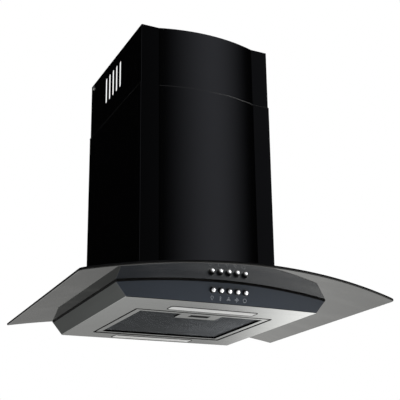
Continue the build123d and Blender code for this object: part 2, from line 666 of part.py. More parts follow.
def filter_latch():
    """Sliding plate, drawn back: tongue to the front, finger lug down into the cover's slot."""
    front, back = latch_cover_span()
    low = latch_height()
    high = low + LATCH_PLATE
    tip = FILTER_FRONT + LATCH_CLEAR
    lug_front = front + LATCH_SLOT_MARGIN + FINGER_ROOM + LATCH_THROW
    shoulder = front + LATCH_SHEET + LATCH_SLIDE_GAP + LATCH_THROW
    rear = back - LATCH_SHEET - LATCH_REAR_ROOM
    tongue = LATCH_TONGUE_WIDTH / 2
    body = LATCH_BODY_WIDTH / 2
    plate = block((-tongue, tip, low), (tongue, shoulder + PASS, high))
    plate += block((-body, shoulder, low), (body, rear, high))
    face = FILTER_RECESS + MESH_RECESS - LATCH_DROP
    lug = block((-LUG_WIDTH / 2, lug_front, face), (LUG_WIDTH / 2, lug_front + LUG_THICKNESS, high))
    return plate + lug


# Lamps

def lamp_lens(y):
    """Frosted lens: a face in the plate's opening and a flange that rests on the plate."""
    lens = lamp_opening(y, -LENS_GAP, LENS_RECESS, SHEET + LENS_FLANGE_THICKNESS)
    return lens + lamp_opening(y, LENS_FLANGE, SHEET, SHEET + LENS_FLANGE_THICKNESS)


def lamp_tray(y):
    """Pressed tray over the lens."""
    low = SHEET + LENS_FLANGE_THICKNESS
    high = DECK_TOP - SHEET - LAMP_HEADROOM
    tray = lamp_opening(y, LENS_FLANGE, low, high)
    return tray - lamp_opening(y, LENS_FLANGE - TRAY_WALL, low - PASS, high - TRAY_WALL)


def led_board(y):
    """Strip of light-emitting diodes under the tray's roof."""
    high = DECK_TOP - SHEET - LAMP_HEADROOM - TRAY_WALL
    grow = LENS_FLANGE - TRAY_WALL - LED_BOARD_MARGIN
    return lamp_opening(y, grow, high - LED_BOARD_THICKNESS, high)


# Buttons

def collar_front():
    """Front of the retaining collar, along the fascia's normal."""
    return -FASCIA_THICKNESS - BUTTON_GAP


def switch_front():
    """Front of the switch bank, along the fascia's normal."""
    return collar_front() - BUTTON_COLLAR_THICKNESS - BUTTON_TRAVEL - BUTTON_END_ROOM


def switch_half():
    return (len(BUTTON_NAMES) - 1) / 2 * BUTTON_PITCH + SWITCH_END


def switch_posts():
    x = switch_half() - SWITCH_POST_INSET
    return [-x, x]


def normal_rod(radius, start, end, x):
    """Rod along the fascia's normal in the button row."""
    return fascia_plane() * Pos(x, 0, (start + end) / 2) * Cylinder(radius, end - start)


def button_barrel(x):
    """Plunger with a retaining collar behind the fascia and a stem into the switch bank."""
    back = collar_front() - BUTTON_COLLAR_THICKNESS
    barrel = Cylinder(BUTTON_RADIUS, BUTTON_PROUD - back)
    barrel = fillet(barrel.edges().group_by(Axis.Z)[-1], BUTTON_RIM_ROUND)
    barrel = fascia_plane() * Pos(x, 0, (back + BUTTON_PROUD) / 2) * barrel
    collar = normal_rod(BUTTON_RADIUS + BUTTON_COLLAR, back, collar_front(), x)
    return barrel + collar + normal_rod(BUTTON_STEM_RADIUS, switch_front() - BUTTON_STEM_REACH, back, x)


def button_cap(x):
    """Bright cap on the plunger's end, with a rounded rim."""
    cap = Cylinder(BUTTON_CAP_RADIUS, BUTTON_CAP_HEIGHT)
    cap = fillet(cap.edges().group_by(Axis.Z)[-1], BUTTON_CAP_ROUND)
    return fascia_plane() * Pos(x, 0, BUTTON_PROUD + BUTTON_CAP_HEIGHT / 2) * cap


def switch_bank():
    """Switch block behind the fascia with a guide for each button stem."""
    back = switch_front() - SWITCH_DEPTH
    middle = switch_front() - SWITCH_DEPTH / 2
    bank = fascia_plane() * Pos(0, 0, middle) * Box(2 * switch_half(), SWITCH_HEIGHT, SWITCH_DEPTH)
    bottom = switch_front() - BUTTON_STEM_REACH - BUTTON_TRAVEL - BUTTON_END_ROOM
    for x in button_places():
        bank -= normal_rod(BUTTON_STEM_RADIUS + BUTTON_STEM_GAP, bottom, PASS, x)
    for x in switch_posts():
        bank -= normal_rod(SWITCH_SCREW_RADIUS + RUNNING_GAP, back - PASS, PASS, x)
    return bank


def switch_screws():
    """Screws through the switch bank's ends into the fascia's posts."""
    back = switch_front() - SWITCH_DEPTH
    tip = -FASCIA_THICKNESS - SWITCH_SCREW_TIP
    screws = []
    for x in switch_posts():
        head = normal_rod(SWITCH_SCREW_HEAD, back - SWITCH_SCREW_HEAD_HEIGHT, back, x)
        screws.append(head + normal_rod(SWITCH_SCREW_RADIUS - RUNNING_GAP, back, tip, x))
    return group(screws)


# Blower

def scroll_outline(wall, top):
    """Spiral of three quarter arcs and the outlet channel, in Y and Z, grown by the wall."""
    radii = [SCROLL_START + SCROLL_GROWTH * step + wall for step in range(3)]
    centres = [
        (AXIS_Y, AXIS_Z),
        (AXIS_Y - SCROLL_GROWTH, AXIS_Z),
        (AXIS_Y - SCROLL_GROWTH, AXIS_Z + SCROLL_GROWTH),
    ]

    def on_arc(step, angle):
        y, z = centres[step]
        turn = math.radians(angle)
        return (y + radii[step] * math.cos(turn), z + radii[step] * math.sin(turn))

    tongue = 90 - math.degrees(math.asin(wall / radii[0]))
    start = on_arc(0, tongue)
    front = on_arc(2, -180)
    edges = [
        ThreePointArc(start, on_arc(0, tongue / 2), on_arc(0, 0)),
        ThreePointArc(on_arc(1, 0), on_arc(1, -45), on_arc(1, -90)),
        ThreePointArc(on_arc(2, -90), on_arc(2, -135), front),
        Line(front, (front[0], top)),
        Line((front[0], top), (start[0], top)),
        Line((start[0], top), start),
    ]
    return Plane.YZ * make_face(edges)


def scroll_half():
    """Right half of the scroll, with its inlet and half of the outlet flange."""
    half = extrude(scroll_outline(SCROLL_WALL, OUTLET_TOP), SCROLL_HALF, dir=(1, 0, 0))
    half += block(
        (0, SCROLL_FRONT - SCROLL_WALL - OUTLET_FLANGE, OUTLET_TOP - SCROLL_WALL),
        (SCROLL_HALF + OUTLET_FLANGE, AXIS_Y + SCROLL_WALL + OUTLET_FLANGE, OUTLET_TOP),
    )
    hollow = extrude(scroll_outline(0, OUTLET_TOP + PASS), SCROLL_HALF - SCROLL_WALL, dir=(1, 0, 0))
    half -= Pos(-PASS, 0, 0) * hollow
    half -= hollow
    half -= shaft_rod(INLET_RADIUS, 0, SCROLL_HALF + PASS)
    for y, z in arm_ends():
        half -= rod_x(ARM_SCREW_RADIUS + RUNNING_GAP, 0, SCROLL_HALF + PASS, y, z)
    return half


def scroll_left():
    return mirror(scroll_half(), about=Plane.YZ)


def impeller():
    """Twin-inlet blade wheel: middle disc, hub, tilted blades and a rim at each end."""
    inner = IMPELLER_RADIUS - IMPELLER_BAND
    middle = (IMPELLER_RADIUS + inner) / 2
    half = IMPELLER_LENGTH / 2
    blade = Box(IMPELLER_LENGTH, BLADE_DEPTH, BLADE_THICKNESS)
    blades = []
    for index in range(BLADE_COUNT):
        turn = Pos(0, AXIS_Y, AXIS_Z) * Rot(360 / BLADE_COUNT * index, 0, 0)
        blades.append(turn * Pos(0, middle, 0) * Rot(BLADE_TILT, 0, 0) * blade)
    wheel = shaft_rod(IMPELLER_RADIUS, -IMPELLER_DISC / 2, IMPELLER_DISC / 2)
    wheel += shaft_ring(IMPELLER_RADIUS, inner, half - IMPELLER_RIM, half)
    wheel += shaft_ring(IMPELLER_RADIUS, inner, -half, -half + IMPELLER_RIM)
    wheel += blades
    wheel += shaft_rod(HUB_RADIUS, -HUB_LENGTH, IMPELLER_DISC / 2)
    return wheel - shaft_rod(SHAFT_RADIUS + RUNNING_GAP, -half, half)


def motor_shaft():
    tail = -(HUB_LENGTH + NUT_LENGTH + SHAFT_TAIL)
    return shaft_rod(SHAFT_RADIUS, tail, MOTOR_END - MOTOR_COVER_THICKNESS)


def impeller_nut():
    """Hexagon nut that holds the impeller's hub on the shaft."""
    hexagon = Plane.YZ * Pos(AXIS_Y, AXIS_Z) * RegularPolygon(NUT_RADIUS, 6)
    nut = Pos(-HUB_LENGTH - NUT_LENGTH - SEAT, 0, 0) * extrude(hexagon, NUT_LENGTH, dir=(1, 0, 0))
    return nut - shaft_rod(SHAFT_RADIUS + RUNNING_GAP, -IMPELLER_LENGTH, 0)


def bearing_ends():
    """Start of the bearing at each end of the motor."""
    return [MOTOR_START, MOTOR_END - MOTOR_COVER_THICKNESS - BEARING_LENGTH]


def motor_can():
    """Drawn can, open at the far end, with a boss for the near bearing."""
    end = MOTOR_END - MOTOR_COVER_THICKNESS - SEAT
    can = shaft_rod(MOTOR_RADIUS, MOTOR_START, end)
    can -= shaft_rod(MOTOR_RADIUS - MOTOR_WALL, MOTOR_START + MOTOR_WALL, end + PASS)
    boss_end = MOTOR_START + BEARING_LENGTH
    can += shaft_rod(BEARING_RADIUS + BEARING_BOSS, MOTOR_START, boss_end)
    return can - shaft_rod(BEARING_RADIUS + RUNNING_GAP, MOTOR_START - PASS, boss_end + PASS)


def motor_end_cover():
    """End plate with a boss for the far bearing."""
    start = MOTOR_END - MOTOR_COVER_THICKNESS
    cover = shaft_rod(MOTOR_RADIUS, start, MOTOR_END)
    cover += shaft_rod(BEARING_RADIUS + BEARING_BOSS, start - BEARING_LENGTH, MOTOR_END)
    return cover - shaft_rod(BEARING_RADIUS + RUNNING_GAP, start - BEARING_LENGTH - PASS, start)


def motor_bearings():
    """Sintered bushes at both ends of the motor."""
    bore = SHAFT_RADIUS + RUNNING_GAP
    return group(shaft_ring(BEARING_RADIUS, bore, x, x + BEARING_LENGTH) for x in bearing_ends())


def stator_span():
    near, far = bearing_ends()
    return near + BEARING_LENGTH + WINDING_ROOM, far - WINDING_ROOM


def motor_stator():
    return shaft_ring(MOTOR_RADIUS - MOTOR_WALL - SEAT, STATOR_BORE, *stator_span())


def motor_rotor():
    return shaft_ring(STATOR_BORE - AIR_GAP, SHAFT_RADIUS + RUNNING_GAP, *stator_span())


def arm_ends():
    """Fixing points of the motor bracket's arms on the scroll, in Y and Z."""
    reach = INLET_RADIUS + ARM_LAP / 2
    turns = [math.radians(90 + 360 / ARM_COUNT * index) for index in range(ARM_COUNT)]
    return [(AXIS_Y + reach * math.cos(turn), AXIS_Z + reach * math.sin(turn)) for turn in turns]


def motor_bracket():
    """Clamp ring round the motor with arms out to the scroll."""
    bore = MOTOR_RADIUS + RUNNING_GAP
    bracket = shaft_rod(MOTOR_RADIUS + CLAMP_WALL, CLAMP_START, CLAMP_START + CLAMP_WIDTH)
    length = INLET_RADIUS + ARM_LAP
    arm = Pos(ARM_THICKNESS / 2, length / 2, 0) * Box(ARM_THICKNESS, length, ARM_WIDTH)
    for index in range(ARM_COUNT):
        turn = Rot(90 + 360 / ARM_COUNT * index, 0, 0)
        bracket += Pos(CLAMP_START, AXIS_Y, AXIS_Z) * turn * arm
    bracket -= shaft_rod(bore, CLAMP_START - PASS, MOTOR_END)
    for y, z in arm_ends():
        bracket -= rod_x(ARM_SCREW_RADIUS + RUNNING_GAP, 0, MOTOR_END, y, z)
    return bracket


def motor_rubbers():
    """Rubber discs between the bracket's arms and the scroll."""
    bore = ARM_SCREW_RADIUS + RUNNING_GAP
    discs = []
    for y, z in arm_ends():
        disc = rod_x(RUBBER_RADIUS, SCROLL_HALF, CLAMP_START, y, z)
        discs.append(disc - rod_x(bore, 0, MOTOR_END, y, z))
    return group(discs)


def motor_screws():
    """Screws through the arms and rubbers into the scroll."""
    seat = CLAMP_START + ARM_THICKNESS
    screws = []
    for y, z in arm_ends():
        head = rod_x(ARM_SCREW_HEAD, seat, seat + ARM_SCREW_HEAD_HEIGHT, y, z)
        screws.append(head + rod_x(ARM_SCREW_RADIUS, SCROLL_HALF - SCROLL_WALL, seat, y, z))
    return group(screws)


# Motor box

def hook_slots(gap, low, high, front, back):
    """Boxes about the two hook places."""
    half = HOOK_WIDTH / 2 + gap
    places = (-HOOK_SPAN / 2, HOOK_SPAN / 2)
    return [block((x - half, front, low), (x + half, back, high)) for x in places]


def hook_height():
    """Underside of the hooks."""
    return BOX_TOP - WALL_BRACKET_DROP - WALL_BRACKET_HEIGHT / 2


def motor_box():
    """Folded box round the blower, open below, with an outlet in its roof and slots for the hooks."""
    box = block((-BOX_HALF, BOX_FRONT, DECK_TOP), (BOX_HALF, BOX_BACK, BOX_TOP))
    box -= block(
        (-BOX_HALF + SHEET, BOX_FRONT + SHEET, DECK_TOP + SHEET),
        (BOX_HALF - SHEET, BOX_BACK - SHEET, BOX_TOP - SHEET),
    )
    inset = SHEET + BOX_FLANGE
    box -= block(
        (-BOX_HALF + inset, BOX_FRONT + inset, DECK_TOP - PASS),
        (BOX_HALF - inset, BOX_BACK - inset, DECK_TOP + SHEET + PASS),
    )
    outlet = SCROLL_HALF - SCROLL_WALL
    box -= block((-outlet, SCROLL_FRONT, BOX_TOP - SHEET - PASS), (outlet, AXIS_Y, BOX_TOP + PASS))
    for x, y in box_screw_places():
        box -= rod_z(BOX_SCREW_RADIUS + RUNNING_GAP, 0, DECK_TOP + SHEET + PASS, x, y)
    for x, y in spigot_screw_places():
        box -= rod_z(BOX_SCREW_RADIUS + RUNNING_GAP, OUTLET_TOP, BOX_TOP + PASS, x, y)
    low = hook_height() - HOOK_SLOT_GAP
    high = hook_height() + HOOK_THICKNESS + HOOK_RISE + HOOK_SLOT_GAP
    for slot in hook_slots(HOOK_SLOT_GAP, low, high, BOX_BACK - SHEET - PASS, BOX_BACK + PASS):
        box -= slot
    wire_y, wire_z = terminal_middle()
    return box - rod_x(GLAND_BORE, BOX_HALF - SHEET - PASS, BOX_HALF + PASS, wire_y, wire_z)


def box_screws():
    """Screws through the box's floor flange into the deck."""
    seat = DECK_TOP + SHEET
    screws = []
    for x, y in box_screw_places():
        head = rod_z(BOX_SCREW_HEAD, seat, seat + BOX_SCREW_HEAD_HEIGHT, x, y)
        screws.append(head + rod_z(BOX_SCREW_RADIUS, DECK_TOP - SHEET - SCREW_END, seat, x, y))
    return group(screws)


def capacitor():
    """Motor capacitor standing in the front left corner of the box."""
    room = SHEET + SEAT + CAPACITOR_RADIUS
    high = BOX_TOP - SHEET - CAPACITOR_DROP
    can = rod_z(CAPACITOR_RADIUS, high - CAPACITOR_LENGTH, high, -BOX_HALF + room, BOX_FRONT + room)
    return fillet(can.edges(), CAPACITOR_RADIUS / 10)


def terminal_middle():
    """Middle of the terminal box, in Y and Z."""
    return (-TERMINAL_REAR - TERMINAL_WIDTH / 2, BOX_TOP - TERMINAL_DROP - TERMINAL_HEIGHT / 2)


def terminal_block(inset, start, end):
    y, z = terminal_middle()
    half_y = TERMINAL_WIDTH / 2 - inset
    half_z = TERMINAL_HEIGHT / 2 - inset
    return block((start, y - half_y, z - half_z), (end, y + half_y, z + half_z))


def gland_place():
    """Axis of the cable gland, in X and Y, and its foot."""
    y, z = terminal_middle()
    return BOX_HALF + TERMINAL_DEPTH / 2, y, z + TERMINAL_HEIGHT / 2


def terminal_box():
    """Moulded box on the motor box's right side, with the hole for the gland."""
    end = BOX_HALF + TERMINAL_DEPTH
    box = terminal_block(0, BOX_HALF, end)
    box -= terminal_block(TERMINAL_WALL, BOX_HALF + TERMINAL_WALL, end + PASS)
    y, z = terminal_middle()
    box -= rod_x(GLAND_BORE, BOX_HALF - PASS, BOX_HALF + TERMINAL_WALL + PASS, y, z)
    gland_x, gland_y, foot = gland_place()
    hole = GLAND_BORE + SEAT
    return box - rod_z(hole, foot - TERMINAL_WALL - PASS, foot + PASS, gland_x, gland_y)


def terminal_lid():
    end = BOX_HALF + TERMINAL_DEPTH
    return terminal_block(0, end, end + TERMINAL_WALL)


def cable_gland():
    """Gland for the supply lead on top of the terminal box."""
    x, y, foot = gland_place()
    gland = rod_z(GLAND_RADIUS, foot, foot + GLAND_LENGTH, x, y)
    gland = fillet(gland.edges().group_by(Axis.Z)[-1], (GLAND_RADIUS - GLAND_BORE) / 3)
    return gland - rod_z(GLAND_BORE, foot - PASS, foot + GLAND_LENGTH + PASS, x, y)


def spigot_screw_places():
    reach = SPIGOT_RADIUS + SPIGOT_FLANGE - SPIGOT_SCREW_INSET
    return [(side * reach, SPIGOT_Y + end * reach) for side in (-1, 1) for end in (-1, 1)]


def outlet_flange():
    """Square plate on the motor box's roof that takes the collar's register."""
    reach = SPIGOT_RADIUS + SPIGOT_FLANGE
    plate = block((-reach, SPIGOT_Y - reach, BOX_TOP), (reach, SPIGOT_Y + reach, SPIGOT_BASE))
    hole = SPIGOT_RADIUS - SPIGOT_WALL / 2 + SEAT
    plate -= rod_z(hole, BOX_TOP - PASS, SPIGOT_BASE + PASS, 0, SPIGOT_Y)
    for x, y in spigot_screw_places():
        plate -= rod_z(BOX_SCREW_RADIUS + RUNNING_GAP, BOX_TOP - PASS, SPIGOT_BASE + PASS, x, y)
    return plate


def outlet_spigot():
    """Duct collar with a register down into its flange and a stop ring for the damper flaps."""
    register = SPIGOT_RADIUS - SPIGOT_WALL / 2
    inner = SPIGOT_RADIUS - SPIGOT_WALL
    top = SPIGOT_BASE + SPIGOT_LENGTH
    ledge_top = DAMPER_Z - DAMPER_FLAP_THICKNESS / 2 - DAMPER_REST_GAP
    spigot = rod_z(SPIGOT_RADIUS, SPIGOT_BASE, top, 0, SPIGOT_Y)
    spigot += rod_z(register, BOX_TOP + SEAT, SPIGOT_BASE, 0, SPIGOT_Y)
    spigot -= rod_z(inner, BOX_TOP, top + PASS, 0, SPIGOT_Y)
    ledge = rod_z(register, ledge_top - DAMPER_LEDGE_HEIGHT, ledge_top, 0, SPIGOT_Y)
    spigot += ledge - rod_z(inner - DAMPER_LEDGE, BOX_TOP, top, 0, SPIGOT_Y)
    bore = DAMPER_PIN_RADIUS + RUNNING_GAP
    return spigot - rod_x(bore, -SPIGOT_RADIUS - PASS, SPIGOT_RADIUS + PASS, SPIGOT_Y, DAMPER_Z)


def spigot_screws():
    """Screws through the collar's flange into the motor box's roof."""
    screws = []
    for x, y in spigot_screw_places():
        head = rod_z(BOX_SCREW_HEAD, SPIGOT_BASE, SPIGOT_BASE + BOX_SCREW_HEAD_HEIGHT, x, y)
        screws.append(head + rod_z(BOX_SCREW_RADIUS, BOX_TOP - SHEET - SCREW_END, SPIGOT_BASE, x, y))
    return group(screws)


def damper_pin():
    half = SPIGOT_RADIUS - SPIGOT_WALL / 4
    return rod_x(DAMPER_PIN_RADIUS, -half, half, SPIGOT_Y, DAMPER_Z)


def damper_flap(side):
    """Half disc that rests on the stop ring, side -1 towards the front and 1 towards the wall.

    Its knuckle takes one half of the pin, and its edge clears the other flap's knuckle.
    """
    radius = SPIGOT_RADIUS - SPIGOT_WALL - DAMPER_GAP
    bore = DAMPER_PIN_RADIUS + RUNNING_GAP
    knuckle = bore + DAMPER_KNUCKLE_WALL
    clear = knuckle + DAMPER_REST_GAP
    thick = DAMPER_FLAP_THICKNESS / 2
    end = radius - DAMPER_LEDGE - DAMPER_GAP
    flap = rod_z(radius, DAMPER_Z - thick, DAMPER_Z + thick, 0, SPIGOT_Y)
    far = SPIGOT_Y - side * radius
    edge = SPIGOT_Y + side * clear
    low, high = sorted((far - side * PASS, edge))
    flap -= block((-radius - PASS, low, DAMPER_Z - PASS), (radius + PASS, high, DAMPER_Z + PASS))
    start, stop = sorted((side * DAMPER_GAP / 2, side * end))
    web_low, web_high = sorted((SPIGOT_Y, SPIGOT_Y + side * (clear + PASS)))
    flap += block((start, web_low, DAMPER_Z - thick), (stop, web_high, DAMPER_Z + thick))
    flap += rod_x(knuckle, start, stop, SPIGOT_Y, DAMPER_Z)
    return flap - rod_x(bore, -radius - PASS, radius + PASS, SPIGOT_Y, DAMPER_Z)


def wall_bracket():
    """Plate screwed to the wall, with two hooks that carry the motor box."""
    half = WALL_BRACKET_WIDTH / 2
    high = BOX_TOP - WALL_BRACKET_DROP
    low = high - WALL_BRACKET_HEIGHT
    plate = block((-half, -WALL_BRACKET_THICKNESS, low), (half, 0, high))
    for x in (-WALL_HOLE_SPAN / 2, WALL_HOLE_SPAN / 2):
        plate -= rod_y(WALL_HOLE_RADIUS, -WALL_BRACKET_THICKNESS - PASS, PASS, x, (low + high) / 2)
    foot = hook_height()
    inner = BOX_BACK - SHEET - WALL_BRACKET_GAP
    tip = inner - HOOK_THICKNESS
    for arm in hook_slots(0, foot, foot + HOOK_THICKNESS, tip, -WALL_BRACKET_THICKNESS / 2):
        plate += arm
    for rise in hook_slots(0, foot, foot + HOOK_THICKNESS + HOOK_RISE, tip, inner):
        plate += rise
    return plate


# Chimney covers

def chimney_outline(inset, fold):
    """Plan of the lower cover's outside, moved in: flat back and sides, bowed front between flat strips."""
    half = CHIMNEY_HALF - inset
    flat = -CHIMNEY_DEPTH + inset
    radius = ((CHIMNEY_BOW_WIDTH / 2) ** 2 + CHIMNEY_BOW**2) / (2 * CHIMNEY_BOW)
    centre = -CHIMNEY_DEPTH - CHIMNEY_BOW + radius
    reach = radius - inset
    chord = math.sqrt(reach**2 - (centre - flat) ** 2)
    edges = [
        Line((-half, -inset), (half, -inset)),
        Line((half, -inset), (half, flat)),
        Line((half, flat), (chord, flat)),
        ThreePointArc((chord, flat), (0, centre - reach), (-chord, flat)),
        Line((-chord, flat), (-half, flat)),
        Line((-half, flat), (-half, -inset)),
    ]
    return fillet(make_face(edges).vertices(), fold)


def chimney_cover(inset, low, high):
    """Folded cover, open at the back between its two flanges."""
    cover = extrude(Pos(0, 0, low) * chimney_outline(inset, CHIMNEY_FOLD), high - low)
    hollow = chimney_outline(inset + CHIMNEY_SHEET, CHIMNEY_FOLD - CHIMNEY_SHEET)
    cover -= extrude(Pos(0, 0, low - PASS) * hollow, high - low + 2 * PASS)
    half = CHIMNEY_HALF - inset - CHIMNEY_BACK_FLANGE
    front = -inset - CHIMNEY_SHEET - PASS
    return cover - block((-half, front, low - PASS), (half, PASS, high + PASS))


def lower_chimney():
    """Lower cover, its foot cut to the arch of the glass."""
    return chimney_cover(0, DECK_TOP, SEAM_Z) - under_arch(GLASS_THICKNESS + SEAT)


def upper_chimney():
    """Upper cover with the side vents and a hole for each side screw."""
    cover = chimney_cover(UPPER_INSET, CHIMNEY_TOP - UPPER_CHIMNEY_LENGTH, CHIMNEY_TOP)
    middle = CHIMNEY_TOP - SLOT_DROP - SLOT_LENGTH / 2
    for index in range(SLOT_COUNT):
        y = -SLOT_MIDDLE + (index - (SLOT_COUNT - 1) / 2) * SLOT_PITCH
        slot = Plane.YZ * Pos(y, middle) * SlotOverall(SLOT_LENGTH, SLOT_WIDTH, rotation=90)
        cover -= extrude(slot, 2 * CHIMNEY_HALF, both=True)
    hole = CHIMNEY_SCREW_RADIUS + RUNNING_GAP
    return cover - rod_x(hole, -CHIMNEY_HALF, CHIMNEY_HALF, -CHIMNEY_SCREW_REAR, CHIMNEY_SCREW_Z)


def chimney_bracket():
    """Wall strap whose tall ears reach round the back flanges to the upper cover's sides."""
    thick = CHIMNEY_BRACKET_SHEET
    low = CHIMNEY_STRAP_TOP - CHIMNEY_STRAP_HEIGHT
    high = CHIMNEY_TOP - CHIMNEY_EAR_DROP
    ear = CHIMNEY_HALF - UPPER_INSET - CHIMNEY_SHEET - CHIMNEY_BRACKET_GAP
    root = CHIMNEY_HALF - UPPER_INSET - CHIMNEY_BACK_FLANGE - 2 * CHIMNEY_BRACKET_SHEET
    front = -CHIMNEY_BRACKET_REACH
    ear_back = -(UPPER_INSET + CHIMNEY_FOLD + CHIMNEY_BRACKET_GAP)
    strap = block((-root, -thick, low), (root, 0, CHIMNEY_STRAP_TOP))
    for side in (-1, 1):
        for start, end, near, far in (
            (root - thick, root, front, 0),
            (root - thick, ear, front, front + thick),
            (ear - thick, ear, front, ear_back),
        ):
            left, right = sorted((side * start, side * end))
            strap += block((left, near, low), (right, far, high))
    for x in (-CHIMNEY_HOLE_SPAN / 2, CHIMNEY_HOLE_SPAN / 2):
        strap -= rod_y(CHIMNEY_HOLE_RADIUS, -thick - PASS, PASS, x, CHIMNEY_HOLE_Z)
    hole = CHIMNEY_SCREW_RADIUS + RUNNING_GAP
    return strap - rod_x(hole, -CHIMNEY_HALF, CHIMNEY_HALF, -CHIMNEY_SCREW_REAR, CHIMNEY_SCREW_Z)


def chimney_screws():
    """Pan head screws through the upper cover's sides into the bracket's ears."""
    face = CHIMNEY_HALF - UPPER_INSET
    place = (-CHIMNEY_SCREW_REAR, CHIMNEY_SCREW_Z)
    head = rod_x(CHIMNEY_SCREW_HEAD, face, face + CHIMNEY_SCREW_HEAD_HEIGHT, *place)
    head = fillet(head.edges().group_by(Axis.X)[-1], CHIMNEY_SCREW_HEAD_HEIGHT / 2)
    screw = head + rod_x(CHIMNEY_SCREW_RADIUS, face - CHIMNEY_SCREW_REACH, face, *place)
    return group([screw, mirror(screw, about=Plane.YZ)])


def build_nodes():
    """Every piece under its node's name."""
    nodes = {
        "canopy_shell": canopy_shell(),
        "bottom_plate": bottom_plate(),
        "control_fascia": control_fascia(),
        "glass_canopy": glass_canopy(),
        "glass_seal": glass_seal(),
        "glass_spacers": glass_spacers(),
        "glass_screws": glass_screws(),
        "filter_frame": filter_frame(),
        "filter_mesh_lower": filter_mesh_lower(),
        "filter_mesh_upper": filter_mesh_upper(),
        "latch_cover": latch_cover(),
        "filter_latch": filter_latch(),
        "switch_bank": switch_bank(),
        "switch_screws": switch_screws(),
        "scroll_right": scroll_half(),
        "scroll_left": scroll_left(),
        "impeller": impeller(),
        "motor_shaft": motor_shaft(),
        "impeller_nut": impeller_nut(),
        "motor_can": motor_can(),
        "motor_end_cover": motor_end_cover(),
        "motor_bearings": motor_bearings(),
        "motor_stator": motor_stator(),
        "motor_rotor": motor_rotor(),
        "motor_bracket": motor_bracket(),
        "motor_rubbers": motor_rubbers(),
        "motor_screws": motor_screws(),
        "motor_box": motor_box(),
        "box_screws": box_screws(),
        "capacitor": capacitor(),
        "terminal_box": terminal_box(),
        "terminal_lid": terminal_lid(),
        "cable_gland": cable_gland(),
        "outlet_flange": outlet_flange(),
        "outlet_spigot": outlet_spigot(),
        "spigot_screws": spigot_screws(),
        "damper_pin": damper_pin(),
        "damper_flap_front": damper_flap(-1),
        "damper_flap_rear": damper_flap(1),
        "wall_bracket": wall_bracket(),
        "lower_chimney": lower_chimney(),
        "upper_chimney": upper_chimney(),
        "chimney_bracket": chimney_bracket(),
        "chimney_screws": chimney_screws(),
    }
    for name, y in (("front", FRONT_LAMP_Y), ("rear", REAR_LAMP_Y)):
        nodes[name + "_lamp_lens"] = lamp_lens(y)
        nodes[name + "_lamp_tray"] = lamp_tray(y)
        nodes[name + "_led_board"] = led_board(y)
    for name, x in zip(BUTTON_NAMES, button_places()):
        nodes[name + "_button"] = button_barrel(x)
        nodes[name + "_button_cap"] = button_cap(x)
    return nodes


os.makedirs("parts", exist_ok=True)
for node_name, piece in build_nodes().items():
    export_step(piece, "parts/" + node_name + ".step")
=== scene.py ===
import math

import bmesh
import bpy
from bpy.props import FloatProperty, FloatVectorProperty, IntProperty, PointerProperty
from bpy.types import Operator, Panel, PropertyGroup
from mathutils import Matrix, Vector
from mathutils.bvhtree import BVHTree


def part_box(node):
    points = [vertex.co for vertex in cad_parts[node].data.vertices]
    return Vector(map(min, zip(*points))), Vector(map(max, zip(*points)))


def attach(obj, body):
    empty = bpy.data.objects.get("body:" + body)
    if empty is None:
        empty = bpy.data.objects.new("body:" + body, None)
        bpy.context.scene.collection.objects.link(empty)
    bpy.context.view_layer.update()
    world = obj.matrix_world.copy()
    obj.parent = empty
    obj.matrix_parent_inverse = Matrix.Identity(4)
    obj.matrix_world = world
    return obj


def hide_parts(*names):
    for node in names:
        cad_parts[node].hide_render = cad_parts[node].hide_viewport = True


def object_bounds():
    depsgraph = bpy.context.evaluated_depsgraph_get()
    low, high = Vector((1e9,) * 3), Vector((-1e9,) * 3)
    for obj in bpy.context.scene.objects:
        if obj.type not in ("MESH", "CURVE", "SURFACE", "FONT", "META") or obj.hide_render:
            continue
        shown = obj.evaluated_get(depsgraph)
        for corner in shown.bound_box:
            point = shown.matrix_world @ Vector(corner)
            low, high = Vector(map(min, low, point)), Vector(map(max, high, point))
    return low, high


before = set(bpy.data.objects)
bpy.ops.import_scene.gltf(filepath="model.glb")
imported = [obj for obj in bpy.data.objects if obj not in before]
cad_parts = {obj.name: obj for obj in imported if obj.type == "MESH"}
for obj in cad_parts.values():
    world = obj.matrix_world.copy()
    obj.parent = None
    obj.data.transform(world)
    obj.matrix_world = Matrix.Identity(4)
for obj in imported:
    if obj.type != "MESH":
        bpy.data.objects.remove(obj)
CAD_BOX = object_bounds()

bl_info = {
    "name": "Chimney Hood",
    "version": (1, 0, 0),
    "blender": (4, 5, 0),
    "location": "View3D > Sidebar > Hood",
    "description": "Finishes, fine pieces and a studio for a wall chimney hood",
    "category": "Object",
}

BUTTONS = ("light", "low_speed", "middle_speed", "high_speed", "stop")
LAMPS = ("front", "rear")
FAN_BLADES = {"low_speed": 2, "middle_speed": 3, "high_speed": 4}
SMOOTH_LIMIT = math.radians(35)
POLISH_LIMIT = math.radians(50)


def length(name, default, description):
    """A size or place in metres."""
    return FloatProperty(name=name, default=default, description=description, unit="LENGTH")


def colour(name, default, description):
    """A linear colour."""
    return FloatVectorProperty(
        name=name, default=default, description=description, subtype="COLOR", size=3, min=0.0, max=1.0
    )


def share(name, default, description):
    """A part of the whole, from 0 to 1."""
    return FloatProperty(
        name=name, default=default, description=description, subtype="FACTOR", min=0.0, max=1.0
    )


def brightness(name, default, description):
    """A light's strength, where 1 is white."""
    return FloatProperty(name=name, default=default, description=description, min=0.0)


def angle(name, default, description):
    """An angle whose default is given in degrees."""
    return FloatProperty(
        name=name, default=math.radians(default), description=description, subtype="ANGLE"
    )


